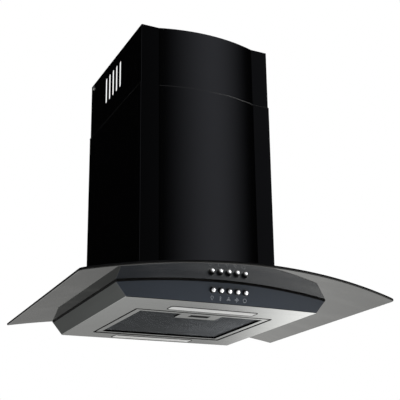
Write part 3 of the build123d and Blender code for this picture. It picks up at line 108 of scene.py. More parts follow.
class HoodPieces(PropertyGroup):
    """Sizes of the pieces that are finer than the frame."""

    glass_thickness: length("Glass thickness", 0.005, "Thickness of the bent sheet")
    glass_bow: length("Glass bow", 0.035, "Swell of the glass's front edge between its corners")
    glass_front_corner: length("Glass front corner", 0.009, "Corner radius at the front")
    glass_back_corner: length("Glass back corner", 0.003, "Corner radius at the wall")
    glass_edge: length("Polished edge", 0.0024, "Rounding of the polished edges")
    glass_step: length("Bend step", 0.008, "Width of one strip of the bent sheet")
    notch_gap: length("Notch gap", 0.004, "Motor box to the edge of the glass")
    notch_corner: length("Notch corner", 0.012, "Corner radius of the notch")
    mesh_pitch: length("Mesh pitch", 0.006, "Length of one diamond of the expanded mesh")
    mesh_rise: length("Mesh rise", 0.0034, "Depth of one diamond of the expanded mesh")
    mesh_strand: length("Mesh strand", 0.0011, "Width of a strand of the expanded mesh")
    mesh_foil: length("Mesh foil", 0.0005, "Thickness of a strand")
    mesh_lean: angle("Mesh lean", 32, "Twist of a strand out of the sheet")
    hole_width: length("Hole width", 0.009, "Gap in the mesh beside the latch cover, left to right")
    hole_depth: length("Hole depth", 0.022, "Gap in the mesh beside the latch cover, front to back")
    rail_width: length("Rail width", 0.010, "Visible width of the cassette's rails")
    filter_gap: length("Filter gap", 0.0026, "Cassette to the edge of its opening")
    opening_depth: length("Opening depth", 0.234, "Filter opening in the plate, front to back")
    opening_corner: length("Opening corner", 0.0015, "Corner radius of the bead round the opening")
    gasket_width: length("Gasket", 0.0016, "Width of a dark bead under the plate")
    gasket_drop: length("Gasket drop", 0.0007, "Drop of a dark bead below the plate")
    lens_flange: length("Lens flange", 0.003, "Lens flange hidden above the plate")
    lens_corner: length("Lens corner", 0.005, "Corner radius of a lamp lens")
    lens_inner_corner: length("Lens inner corner", 0.0004, "Least corner radius within the rounding")
    lens_drop: length("Lens drop", 0.0009, "Crown of a lamp lens below the plate")
    lens_crown: length("Lens crown", 0.0045, "Width of the rounding along a lamp lens")
    button_height: length("Button height", 0.023, "Button axis on the fascia, above the plate's underside")
    symbol_size: length("Symbol size", 0.0080, "Height of a printed symbol")
    symbol_line: length("Symbol line", 0.0006, "Stroke of a printed symbol")
    symbol_drop: length("Symbol drop", 0.0140, "Button axis to the middle of its symbol")
    print_depth: length("Print depth", 0.00005, "Thickness of the printed ink")
    cap_face: length("Cap face", 0.0030, "Radius of a button cap's flat face")
    cap_edge: length("Cap edge", 0.0004, "Rounding of a button cap's edges")
    bezel_radius: length("Bezel radius", 0.0063, "Middle of the thin ring round a button")
    bezel_line: length("Bezel line", 0.0005, "Width of the thin ring round a button")
    bezel_depth: length("Bezel depth", 0.0003, "Height of the thin ring round a button")
    bow_width: length("Bow width", 0.206, "Chord of the bowed middle of the chimney's front")
    bow: length("Bow", 0.017, "Swell of the chimney's front")
    cover_sheet: length("Cover sheet", 0.0008, "Sheet of the chimney covers")
    cover_fold: length("Cover fold", 0.002, "Outside radius of the chimney's folds")
    # The two sizes below set where the painted shade on the chimney's flat strips begins and where it is
    # full
    strip_shade_start: length("Coat fade", 0.002, "Where the coat starts to thin, inside the bow's edge")
    strip_shade_full: length("Coat thin", 0.0005, "Where the coat is thin, inside the bow's edge")
    hem_radius: length("Hem radius", 0.00055, "Rolled hem on the lower cover's top edge")
    recess_size: length("Recess size", 0.0044, "Span of a screw's cross recess")
    recess_depth: length("Recess depth", 0.0006, "Depth of a screw's cross recess")
    recess_lift: length("Recess lift", 0.00004, "Rim of the cross recess above the screw's head")
    recess_taper: share("Recess taper", 0.8, "Floor of the cross recess to its mouth")
    chip_size: length("Chip", 0.0035, "Side of one light-emitting diode")
    chip_height: length("Chip height", 0.0008, "Diode below its board")
    chip_count: IntProperty(name="Chips", default=14, description="Diodes on one board", min=1)


class HoodColours(PropertyGroup):
    """Colours of the finishes, as they are under white light, save the painted shade in the filter mesh and,
    in part, in the body sides.
    """

    enamel: colour("Enamel", (0.0004, 0.0004, 0.0005), "Chimney covers")
    glass: colour("Smoked glass", (0.004, 0.004, 0.0038), "Bent glass")
    plate: colour("Plate steel", (0.353, 0.36, 0.360), "Bottom plate, cassette and latch cover")
    # Darker than the plate's steel: partly the sides' own tone, partly painted shade on the sides
    sides: colour("Body steel", (0.113, 0.118, 0.117), "Sides of the body")
    fascia: colour("Fascia", (0.023, 0.031, 0.045), "Control panel")
    # Far darker than bare aluminium: painted shade of the mesh inside the filter
    mesh: colour("Filter mesh", (0.062, 0.065, 0.069), "Aluminium of the filter")
    cap: colour("Button cap", (0.88, 0.88, 0.90), "Bright caps")
    lens: colour("Lens", (0.59, 0.59, 0.585), "Lamp lenses")
    symbol: colour("Symbols", (0.40, 0.42, 0.45), "Print under the buttons")


class HoodStudio(PropertyGroup):
    """Camera, floor and light."""

    focal: FloatProperty(name="Focal length", default=79.03, description="On a 36 mm sensor", unit="CAMERA")
    place: FloatVectorProperty(
        name="Camera", default=(-0.6945, -1.7288, -0.3356),
        description="Camera's place", subtype="TRANSLATION",
    )
    heading: angle("Heading", 28.42, "Turn to the right of the wall's normal")
    pitch: angle("Pitch", 16.63, "Upward tilt")
    roll: angle("Roll", -1.58, "Turn about the line of sight")
    shift: FloatVectorProperty(
        name="Shift", default=(-0.1125, 0.10), description="Off-centre framing", size=2
    )
    floor_drop: length("Floor", 1.55, "Floor below the hood's underside")
    floor_radius: length("Floor radius", 7.0, "Reach of the floor")
    floor_fade: length("Floor fade", 2.0, "Distance where the floor starts to fade")
    floor_end: length("Floor end", 6.5, "Distance where the floor has faded")
    floor: colour("Floor", (0.86, 0.86, 0.85), "Pale floor")
    ambient: share("Ambient", 0.50, "Light from all round on dull surfaces")
    low_room: share("Low room", 0.39, "What gloss mirrors just below the horizon")
    floor_glow: share("Floor glow", 0.63, "Floor mirrored further down")
    side_glow: brightness("Side glow", 2.5, "Bright side of the low room")
    front_glow: brightness("Front glow", 0.9, "Bright front of the low room")
    front_lamp: brightness("Front lamp", 13.0, "Low lamp before the fascia")
    high_room: share("High room", 0.001, "What gloss mirrors above the horizon")
    bow_glow: share("Bow glow", 0.55, "Soft light mirrored in the chimney's bow")
    fold_glow: share("Fold glow", 0.30, "Soft light mirrored in the chimney's left fold")
    overhead: brightness("Overhead", 0.22, "Soft light mirrored in upper edges")


class Socket:
    """A node's output, on which arithmetic adds Math nodes."""

    def __init__(self, nodes, output):
        self.nodes = nodes
        self.output = output

    def __add__(self, other):
        return self.nodes.math("ADD", self, other)

    def __sub__(self, other):
        return self.nodes.math("SUBTRACT", self, other)

    def __rsub__(self, other):
        return self.nodes.math("SUBTRACT", other, self)

    def __mul__(self, other):
        return self.nodes.math("MULTIPLY", self, other)

    def __truediv__(self, other):
        return self.nodes.math("DIVIDE", self, other)

    def __rtruediv__(self, other):
        return self.nodes.math("DIVIDE", other, self)

    def __or__(self, other):
        return self.nodes.math("MAXIMUM", self, other)

    def __abs__(self):
        return self | self * -1.0

    __radd__ = __add__
    __rmul__ = __mul__
    __ror__ = __or__


class Nodes:
    """Adds nodes to one tree."""

    def __init__(self, tree):
        self.tree = tree

    def node(self, kind, settings, sockets, output=0):
        """One new node: its settings first, then the values or links of its sockets."""
        made = self.tree.nodes.new(kind)
        for name, value in settings.items():
            setattr(made, name, value)
        for name, value in sockets.items():
            self.feed(made.inputs[name], value)
        return Socket(self, made.outputs[output])

    def feed(self, target, value):
        """Links an output to an input, or sets a plain value there."""
        if isinstance(value, Socket):
            self.tree.links.new(value.output, target)
        else:
            target.default_value = value

    def math(self, operation, first, second):
        """One Math node on two values."""
        return self.node("ShaderNodeMath", {"operation": operation}, {0: first, 1: second})

    def step(self, value, low, high):
        """0 below low, 1 above high, smooth between."""
        settings = {"interpolation_type": "SMOOTHSTEP"}
        return self.node("ShaderNodeMapRange", settings, {"Value": value, "From Min": low, "From Max": high})

    def lobe(self, value, start, full, fade, end):
        """Rises from start to full and falls again from fade to end."""
        return self.step(value, start, full) * (1.0 - self.step(value, fade, end))

    def sector(self, bearing, degrees):
        """Lobe over a bearing, with its four limits in degrees."""
        return self.lobe(bearing, *(math.radians(limit) for limit in degrees))

    def mix(self, first, second, mask):
        """Colour between two colours."""
        sockets = {0: mask, 6: solid(first), 7: solid(second)}
        return self.node("ShaderNodeMix", {"data_type": "RGBA"}, sockets, 2)

    def split(self, vector, axis):
        """One part of a vector or colour."""
        return self.node("ShaderNodeSeparateXYZ", {}, {"Vector": vector}, axis)


class Finish(Nodes):
    """A procedural material round one Principled shader."""

    def __init__(self, name, **constants):
        self.material = bpy.data.materials.new(name)
        self.material.use_nodes = True
        super().__init__(self.material.node_tree)
        self.shader = self.tree.nodes["Principled BSDF"]
        for socket, value in constants.items():
            self.set(socket.replace("_", " "), value)

    def set(self, socket, value):
        """Feeds the shader's input of this name, in any case."""
        names = {name.lower(): name for name in self.shader.inputs.keys()}
        self.feed(self.shader.inputs[names[socket.lower()]], value)

    def place(self, stretch=(1.0, 1.0, 1.0)):
        """Place on the object in metres, stretched along each axis."""
        place = self.node("ShaderNodeTexCoord", {}, {}, "Object")
        return self.node("ShaderNodeVectorMath", {"operation": "MULTIPLY"}, {0: place, 1: stretch})

    def noise(self, scale, detail=3.0, stretch=(1.0, 1.0, 1.0)):
        """Soft random pattern fixed to the object."""
        sockets = {"Vector": self.place(stretch), "Scale": scale, "Detail": detail}
        return self.node("ShaderNodeTexNoise", {}, sockets, "Fac")

    def cells(self, scale):
        """Random colour for each crystal of a patchwork."""
        return self.node("ShaderNodeTexVoronoi", {}, {"Vector": self.place(), "Scale": scale}, "Color")

    def ridges(self, width):
        """Even ridges across X, 0 in the valleys and 1 on the crests."""
        return self.math("PINGPONG", self.split(self.place(), "X"), width) / width

    def facing(self, axis):
        """The surface normal's part along an axis of the piece at rest."""
        return self.split(self.node("ShaderNodeTexCoord", {}, {}, "Normal"), axis)

    def shades(self, base, dark, light, mask):
        """Colour between a darker and a lighter shade of one base."""
        return self.mix(scaled(base, dark), scaled(base, light), mask)

    def cover(self, mask, base, rough, gloss):
        """Lays a plain second shader over the first where the mask is 1."""
        sockets = {"Base Color": solid(base), "Roughness": rough, "Specular IOR Level": gloss}
        second = self.node("ShaderNodeBsdfPrincipled", {}, sockets)
        first = Socket(self, self.shader.outputs[0])
        both = self.node("ShaderNodeMixShader", {}, {0: mask, 1: first, 2: second})
        self.feed(self.tree.nodes["Material Output"].inputs["Surface"], both)

    def relief(self, height, depth, strength):
        """Bump of this depth in metres."""
        sockets = {"Height": height, "Distance": depth, "Strength": strength}
        self.set("Normal", self.node("ShaderNodeBump", {}, sockets))


def solid(value):
    """Four-part colour of a three-part one."""
    return value if isinstance(value, Socket) else (*value[:3], 1.0)


def scaled(value, factor):
    """Darker or lighter shade of a colour."""
    return tuple(part * factor for part in value[:3])


def colours():
    """Colours that the panel shows."""
    return bpy.context.scene.hood_colours


def pieces():
    """Sizes that the panel shows."""
    return bpy.context.scene.hood_pieces


# Finishes

ALONG_X = (0.012, 1.0, 1.0)
ALONG_Y = (1.0, 0.012, 1.0)


def gloss_enamel():
    """Black stove enamel under a clear coat, with painted shade on the flat strips beside the bow: the coat
    there is turned down, most on the left, so they mirror less light.
    """
    size = pieces()
    base = colours().enamel
    finish = Finish("gloss_enamel", specular_ior_level=0.0, coat_roughness=0.13)
    cloud = finish.noise(14.0, detail=2.0)
    across = finish.split(finish.place(), "X")
    edge = size.bow_width / 2
    beside = finish.step(abs(across), edge - size.strip_shade_start, edge - size.strip_shade_full)
    strip = beside * (1.0 - finish.step(abs(finish.facing("X")), 0.3, 0.6))
    # Painted shade: the flat strips beside the bow, the left one most, lose most of their coat so they
    # mirror less light
    painted_strip_shade = strip * (0.85 - across * 0.48)
    finish.set("Base Color", finish.shades(base, 0.8, 1.3, cloud))
    finish.set("Roughness", 0.35 + finish.noise(420.0, detail=2.0) * 0.1)
    finish.set("Coat Weight", (1.0 - painted_strip_shade) * (0.94 + cloud * 0.08))
    return finish.material


def smoked_glass():
    """Dark body tint, mirror faces, a greasy haze on the underside and black ground edges."""
    base = colours().glass
    finish = Finish("smoked_glass_sheet", ior=1.52, alpha=0.96)
    upward = finish.facing("Z")
    edge = 1.0 - finish.step(abs(upward), 0.70, 0.90)
    smear = finish.noise(9.0, detail=4.0, stretch=(1.0, 2.4, 1.0))
    haze = finish.step(smear, 0.47, 0.66) * (1.0 - finish.step(upward, -0.5, 0.5) * 0.85)
    finish.set("Base Color", finish.shades(base, 0.6, 6.0, haze))
    finish.set("Roughness", 0.025 + smear * 0.03)
    finish.cover(edge, scaled(base, 0.4), rough=0.5, gloss=0.12)
    return finish.material


def brushed_steel(name, base, stretch, rough, edge):
    """Steel with fine brush lines along the axis that is stretched least, and a painted shadow that makes
    upright faces near black.
    """
    finish = Finish(name, metallic=1.0, specular_tint=(edge, edge, edge, 1.0))
    lines = finish.noise(900.0, detail=2.0, stretch=stretch)
    broad = finish.noise(60.0, detail=3.0, stretch=stretch)
    stain = finish.noise(7.0, detail=4.0)
    shade = 0.5 + (lines - 0.5) * 0.55 + (broad - 0.5) * 0.5 + (stain - 0.5) * 0.25
    # Painted shadow: upright faces, such as the walls of gaps and the sides of rails, go near black
    level = finish.step(abs(finish.facing("Z")), 0.2, 0.4)
    finish.set("Base Color", finish.mix(scaled(base, 0.03), finish.shades(base, 0.80, 1.18, shade), level))
    finish.set("Roughness", rough + (lines - 0.5) * 0.12 + (stain - 0.5) * 0.05)
    finish.relief(lines, depth=0.00002, strength=0.5)
    return finish.material


def plate_steel():
    """Bright steel brushed from side to side."""
    return brushed_steel("plate_steel", colours().plate, ALONG_X, rough=0.18, edge=0.8)


def body_steel():
    """Dull steel brushed from front to back, darker than the plate's steel partly as painted shade on the
    sides.
    """
    return brushed_steel("body_side_steel", colours().sides, ALONG_Y, rough=0.36, edge=0.45)


def slate_lacquer():
    """Slate blue lacquer with a trace of metal flake."""
    base = colours().fascia
    finish = Finish("slate_lacquer")
    flake = finish.noise(2600.0, detail=1.0)
    cloud = finish.noise(11.0, detail=3.0, stretch=(0.6, 1.0, 2.0))
    sparkle = finish.step(flake, 0.66, 0.80) * 0.5
    finish.set("Base Color", finish.mix(finish.shades(base, 0.86, 1.16, cloud), scaled(base, 2.2), sparkle))
    finish.set("Roughness", 0.30 + cloud * 0.08)
    finish.relief(flake, depth=0.00001, strength=0.3)
    return finish.material


def moulded(name, base, rough=0.5):
    """Moulded plastic with a spark-eroded grain."""
    finish = Finish(name)
    grain = finish.noise(1500.0)
    finish.set("Base Color", finish.shades(base, 0.88, 1.12, finish.noise(25.0, detail=2.0)))
    finish.set("Roughness", rough + (grain - 0.5) * 0.15)
    finish.relief(grain, depth=0.00004, strength=0.4)
    return finish.material


def rubber():
    """Dull black rubber with a bloom."""
    finish = Finish("dull_rubber", specular_ior_level=0.1)
    bloom = finish.noise(60.0, detail=4.0)
    finish.set("Base Color", finish.mix((0.0015, 0.0015, 0.0015), (0.003, 0.003, 0.003), bloom))
    finish.set("Roughness", 0.70 + bloom * 0.2)
    finish.relief(finish.noise(900.0), depth=0.00004, strength=0.4)
    return finish.material


def mesh_aluminium():
    """Rolled aluminium of the filter, with a dull film, its colour darkened far below aluminium's as painted
    shade of the mesh inside the filter.
    """
    finish = Finish("mesh_aluminium", metallic=1.0, specular_tint=(0.3, 0.3, 0.3, 1.0))
    scratch = finish.noise(700.0, detail=2.0, stretch=(0.2, 1.0, 1.0))
    finish.set("Base Color", finish.shades(colours().mesh, 0.75, 1.25, finish.noise(45.0, detail=4.0)))
    finish.set("Roughness", 0.42 + (scratch - 0.5) * 0.2)
    finish.relief(scratch, depth=0.00003, strength=0.4)
    return finish.material


def satin_chrome():
    """Bright plated cap with a faint film."""
    finish = Finish("satin_chrome", metallic=0.6)
    film = finish.noise(300.0, detail=2.0)
    finish.set("Base Color", finish.shades(colours().cap, 0.95, 1.05, film))
    finish.set("Roughness", 0.06 + film * 0.05)
    return finish.material


def frosted_lens():
    """Milky plastic with prism ribs across the lamp."""
    finish = Finish("frosted_lens")
    ribs = finish.ridges(0.0011)
    finish.set("Base Color", finish.shades(colours().lens, 0.97, 1.03, finish.noise(40.0, detail=2.0)))
    finish.set("Roughness", 0.38 + ribs * 0.1)
    finish.relief(ribs, depth=0.00015, strength=0.35)
    return finish.material


def galvanised():
    """Hot-dipped sheet with its spangle."""
    finish = Finish("galvanised_sheet", metallic=0.9)
    spangle = finish.split(finish.cells(95.0), "X")
    fine = finish.split(finish.cells(260.0), "Y")
    tone = spangle * 0.7 + fine * 0.3
    finish.set("Base Color", finish.mix((0.40, 0.41, 0.42), (0.60, 0.61, 0.62), tone))
    finish.set("Roughness", 0.34 + tone * 0.16)
    finish.relief(finish.noise(500.0), depth=0.00003, strength=0.3)
    return finish.material


def plated(name, base, rough=0.3):
    """Small plated metal piece with turned lines."""
    finish = Finish(name, metallic=1.0)
    lines = finish.noise(1600.0, detail=2.0, stretch=(1.0, 1.0, 0.15))
    finish.set("Base Color", finish.shades(base, 0.82, 1.12, finish.noise(90.0)))
    finish.set("Roughness", rough + (lines - 0.5) * 0.16)
    finish.relief(lines, depth=0.00002, strength=0.4)
    return finish.material


def enamelled_wire():
    """Copper winding: tight turns under varnish."""
    finish = Finish("enamelled_wire", metallic=0.7, coat_weight=0.6)
    turns = finish.ridges(0.0006)
    finish.set("Base Color", finish.mix((0.22, 0.075, 0.03), (0.62, 0.27, 0.11), turns))
    finish.set("Roughness", 0.28 + finish.noise(80.0) * 0.12)
    finish.relief(turns, depth=0.0003, strength=0.8)
    return finish.material


def diode_board():
    """White solder mask with a faint weave."""
    finish = Finish("diode_board")
    weave = finish.noise(1100.0, detail=1.0)
    finish.set("Base Color", finish.mix((0.66, 0.67, 0.65), (0.78, 0.79, 0.77), weave))
    finish.set("Roughness", 0.35 + weave * 0.1)
    return finish.material


def symbol_print():
    """Thin grey pad print."""
    finish = Finish("symbol_print")
    speckle = finish.noise(1800.0)
    finish.set("Base Color", finish.shades(colours().symbol, 0.85, 1.15, speckle))
    finish.set("Roughness", 0.45 + speckle * 0.1)
    return finish.material


# Mesh helpers

def paint(material, *nodes):
    """Gives CAD nodes a finish."""
    for node in nodes:
        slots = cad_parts[node].data.materials
        slots.clear()
        slots.append(material)


def add_piece(name, mesh, material, body, replaces=()):
    """Puts a finished bmesh into the scene as a piece that rides on a body."""
    data = bpy.data.meshes.new(name)
    bmesh.ops.recalc_face_normals(mesh, faces=mesh.faces)
    mesh.to_mesh(data)
    mesh.free()
    data.materials.append(material)
    piece = bpy.data.objects.new(name, data)
    bpy.context.scene.collection.objects.link(piece)
    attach(piece, body)
    if replaces:
        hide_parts(*replaces)
    return piece


def smooth(piece):
    """Smooth shading, with sharp edges kept."""
    data = piece.data
    data.polygons.foreach_set("use_smooth", [True] * len(data.polygons))
    data.set_sharp_from_angle(angle=SMOOTH_LIMIT)
    return piece


def arc(centre, radius, start, end, steps):
    """Points on an arc in the plane, between two angles."""
    turns = [start + (end - start) * index / steps for index in range(steps + 1)]
    return [(centre[0] + radius * math.cos(t), centre[1] + radius * math.sin(t)) for t in turns]


def ring(centre, radius, steps):
    """Points all round a circle in the plane."""
    return arc(centre, radius, 0.0, math.tau, steps)[:-1]


def arc_radius(half, rise):
    """Radius of an arc from half its chord and its rise."""
    return (half**2 + rise**2) / (2 * rise)


def bowed_front(half, nose, swell, steps):
    """Arc from the left to the right whose middle swells forward to the nose."""
    radius = arc_radius(half, swell)
    swing = math.asin(half / radius)
    down = -math.pi / 2
    return arc((0.0, nose + radius), radius, down - swing, down + swing, steps)


def rounded(corners, steps=8):
    """Closed outline of corners (x, y, radius), each rounded by an arc tangent to its two sides."""
    points = []
    count = len(corners)
    for index, (x, y, radius) in enumerate(corners):
        corner = Vector((x, y))
        back = (Vector(corners[index - 1][:2]) - corner).normalized()
        ahead = (Vector(corners[(index + 1) % count][:2]) - corner).normalized()
        if radius == 0:
            points.append((x, y))
            continue
        half = back.angle(ahead) / 2
        middle = corner + (back + ahead).normalized() * (radius / math.sin(half))
        first = corner + back * (radius / math.tan(half)) - middle
        turn = first.angle_signed(corner + ahead * (radius / math.tan(half)) - middle)
        for step in range(steps + 1):
            spoke = first.copy()
            spoke.rotate(Matrix.Rotation(-turn * step / steps, 2))
            points.append(tuple(middle + spoke))
    return points


def rounded_box(half_x, half_y, radius):
    """Outline of a rectangle about the origin, with rounded corners."""
    corners = ((-1, -1), (1, -1), (1, 1), (-1, 1))
    return rounded([(x * half_x, y * half_y, radius) for x, y in corners])


def add_band(mesh, loops, closed=False):
    """Skin over loops with equally many points: both ends are capped, or the last meets the first."""
    rings = [[mesh.verts.new(point) for point in loop] for loop in loops]
    pairs = list(zip(rings, rings[1:]))
    if closed:
        pairs.append((rings[-1], rings[0]))
    else:
        mesh.faces.new(rings[0][::-1])
        mesh.faces.new(rings[-1])
    count = len(rings[0])
    for first, second in pairs:
        for spot in range(count):
            after = (spot + 1) % count
            mesh.faces.new((first[spot], first[after], second[after], second[spot]))


def add_skin(name, loops, material, body, replaces=(), closed=False):
    """A smooth piece that is one skin over loops of points."""
    mesh = bmesh.new()
    add_band(mesh, loops, closed)
    smooth(add_piece(name, mesh, material, body, replaces))


def add_prism(mesh, outline, low, high):
    """Upright prism of an outline of (x, y) points."""
    add_band(mesh, [[(x, y, z) for x, y in outline] for z in (low, high)])


def solidify(mesh, depth):
    """Gives open faces a thickness."""
    bmesh.ops.recalc_face_normals(mesh, faces=mesh.faces)
    bmesh.ops.solidify(mesh, geom=mesh.faces[:], thickness=depth)


def add_gasket(name, middle, half_x, half_y, corner, material):
    """Dark round bead on the plate's underside along a rounded rectangle."""
    size = pieces()
    loops = []
    for side, depth in arc((0.0, 0.0), 1.0, 0.0, -math.pi, steps=8):
        grow = side * size.gasket_width / 2
        z = depth * size.gasket_drop
        plan = rounded_box(half_x + grow, half_y + grow, corner + grow)
        loops.append([(middle.x + x, middle.y + y, z) for x, y in plan])
    add_skin(name, loops, material, "hood_body", closed=True)


class HOOD_OT_chimney(Operator):
    """Enamels the two chimney covers, rolls the lower one's hem and finishes their wall strap"""

    bl_idname = "hood.chimney"
    bl_label = "Chimney covers"

    def rim(self, low, high):
        """Plan of the lower cover's top edge, on the sheet's middle, from the wall round to the wall."""
        size = pieces()
        half = high.x - size.cover_sheet / 2
        nose = low.y + size.cover_sheet / 2
        front = nose + size.bow
        fold = size.cover_fold
        down = -math.pi / 2
        left = arc((fold - half, front + fold), fold, -math.pi, down, steps=5)
        right = arc((half - fold, front + fold), fold, down, 0.0, steps=5)
        bow = bowed_front(size.bow_width / 2, nose, size.bow, steps=48)
        return [(-half, high.y), *left, *bow, *right, (half, high.y)]

    def execute(self, context):
        size = pieces()
        enamel = gloss_enamel()
        paint(enamel, "lower_chimney", "upper_chimney")
        paint(galvanised(), "chimney_bracket")
        low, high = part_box("lower_chimney")
        path = [Vector(point) for point in self.rim(low, high)]
        section = ring((0.0, high.z), size.hem_radius, steps=12)
        loops = []
        for index, point in enumerate(path):
            along = path[min(index + 1, len(path) - 1)] - path[max(index - 1, 0)]
            out = Vector((along.y, -along.x)).normalized()
            loops.append([(*(point + out * reach), z) for reach, z in section])
        add_skin("cover_hem", loops, enamel, "hood_body")
        return {"FINISHED"}


class HOOD_OT_body(Operator):
    """Finishes the body's shell, plate, fascia and seal, with a black bead round the filter opening as a
    painted shadow in the gap round the filter
    """

    bl_idname = "hood.body"
    bl_label = "Body"

    def execute(self, context):
        size = pieces()
        paint(body_steel(), "canopy_shell")
        paint(plate_steel(), "bottom_plate", "filter_frame", "latch_cover")
        paint(slate_lacquer(), "control_fascia")
        seal = rubber()
        paint(seal, "glass_seal")
        low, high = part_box("filter_frame")
        bead = size.gasket_width / 2
        half_y = size.opening_depth / 2
        middle = Vector((0.0, low.y - size.filter_gap + half_y))
        half_x = high.x + size.filter_gap
        # Painted shadow: a black rubber bead in the gap round the filter opening stands in for the gap's
        # shade
        add_gasket("opening_shadow_bead", middle, half_x + bead, half_y + bead, size.opening_corner, seal)
        paint(moulded("nylon", (0.62, 0.61, 0.58), 0.45), "glass_spacers")
        return {"FINISHED"}


class HOOD_OT_glass(Operator):
    """Makes the bent glass with polished edges"""

    bl_idname = "hood.glass"
    bl_label = "Bent glass"

    def outline(self):
        """Plan of the sheet, anticlockwise from the wall's left end, round the motor box."""
        size = pieces()
        low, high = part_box("glass_canopy")
        box_low, box_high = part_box("motor_box")
        half = high.x
        side = low.y + size.glass_bow
        notch = box_high.x + size.notch_gap
        notch_front = box_low.y - size.notch_gap
        front = bowed_front(half, low.y, size.glass_bow, steps=60)
        corners = [(-half, 0.0, size.glass_back_corner), (-half, side, size.glass_front_corner)]
        corners += [(x, y, 0.0) for x, y in front[1:-1]]
        corners += [(half, side, size.glass_front_corner), (half, 0.0, size.glass_back_corner)]
        corners += [(notch, 0.0, 0.0), (notch, notch_front, size.notch_corner)]
        corners += [(-notch, notch_front, size.notch_corner), (-notch, 0.0, 0.0)]
        return rounded(corners)

    def polish(self, mesh):
        """Rounds the sheet's edges."""
        bmesh.ops.recalc_face_normals(mesh, faces=mesh.faces)
        sharp = [edge for edge in mesh.edges if edge.calc_face_angle(0.0) > POLISH_LIMIT]
        rounding = pieces().glass_edge
        bmesh.ops.bevel(mesh, geom=sharp, offset=rounding, segments=6, profile=0.5, affect="EDGES")

    def execute(self, context):
        size = pieces()
        low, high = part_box("glass_canopy")
        crown = high.z - size.glass_thickness
        radius = arc_radius(high.x, crown - low.z)
        mesh = bmesh.new()
        mesh.faces.new([mesh.verts.new((x, y, 0.0)) for x, y in self.outline()])
        strips = round(2 * high.x / size.glass_step)
        for index in range(1, strips):
            cut = (low.x + 2 * high.x * index / strips, 0.0, 0.0)
            everything = mesh.verts[:] + mesh.edges[:] + mesh.faces[:]
            bmesh.ops.bisect_plane(mesh, geom=everything, plane_co=cut, plane_no=(1, 0, 0))
        upper = bmesh.ops.duplicate(mesh, geom=mesh.verts[:] + mesh.edges[:] + mesh.faces[:])
        above = {item for item in upper["geom"] if isinstance(item, bmesh.types.BMVert)}
        for vert in mesh.verts:
            bend = radius + (size.glass_thickness if vert in above else 0.0)
            vert.co.z = crown - radius + math.sqrt(bend**2 - vert.co.x**2)
        bmesh.ops.bridge_loops(mesh, edges=[edge for edge in mesh.edges if edge.is_boundary])
        self.polish(mesh)
        glass = add_piece("bent_glass", mesh, smoked_glass(), "hood_body", ["glass_canopy"])
        even = smooth(glass).modifiers.new("even_shading", "WEIGHTED_NORMAL")
        even.keep_sharp = True
        return {"FINISHED"}


class HOOD_OT_filter(Operator):
    """Makes the filter's layers of expanded aluminium and finishes its latch"""

    bl_idname = "hood.filter"
    bl_label = "Grease filter"

    def strand(self, mesh, start, end, lean):
        """One flat strand between two bonds of the mesh."""
        size = pieces()
        along = (end - start).normalized()
        side = along.cross(Vector((0, 0, 1))).normalized()
        up = side.cross(along)
        across = (side * math.cos(lean) + up * math.sin(lean)) * size.mesh_strand / 2
        thick = (up * math.cos(lean) - side * math.sin(lean)) * size.mesh_foil / 2
        section = (across + thick, thick - across, -across - thick, across - thick)
        add_band(mesh, [[place + spot for spot in section] for place in (start, end)])

    def lattice(self, mesh, window, height, shift):
        """Rows of zigzag strands that meet at their bonds, left out round the latch."""
        size = pieces()
        left, front, right, back = window
        latch_low, latch_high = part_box("latch_cover")
        hole_left = latch_low.x - size.hole_width
        hole_back = latch_low.y + size.hole_depth
        columns = round((right - left) / size.mesh_pitch) * 2
        rows = round((back - front) / size.mesh_rise) * 2
        step_x = (right - left) / columns
        step_y = (back - front) / rows
        for row in range(rows // 2 + 1):
            for column in range(columns):
                bonds = []
                for index in (column, column + 1):
                    peak = (index + row + shift) % 2
                    y = front + min(max(2 * row - 0.5 + peak, 0), rows) * step_y
                    bonds.append(Vector((left + index * step_x, y, height + (peak - 0.5) * size.mesh_foil)))
                middle = (bonds[0] + bonds[1]) / 2
                if latch_low.x < middle.x < latch_high.x and middle.y < latch_high.y:
                    continue
                if hole_left < middle.x < latch_low.x and middle.y < hole_back:
                    continue
                self.strand(mesh, *bonds, size.mesh_lean if column % 2 else -size.mesh_lean)

    def execute(self, context):
        size = pieces()
        aluminium = mesh_aluminium()
        frame_low, frame_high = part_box("filter_frame")
        sheet_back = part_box("filter_mesh_lower")[1].y
        inset = size.rail_width - size.mesh_strand
        window = (
            frame_low.x + inset, frame_low.y + inset,
            frame_high.x - inset, sheet_back - inset,
        )
        for name, layers in (("lower", (0.5,)), ("upper", (0.25, 0.75))):
            node = "filter_mesh_" + name
            low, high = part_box(node)
            mesh = bmesh.new()
            for index, level in enumerate(layers):
                height = low.z + (high.z - low.z) * level
                self.lattice(mesh, window, height, index + (name == "upper"))
            add_piece("filter_lattice_" + name, mesh, aluminium, "filter", [node])
        paint(moulded("latch_plastic", (0.012, 0.012, 0.013), 0.45), "filter_latch")
        return {"FINISHED"}


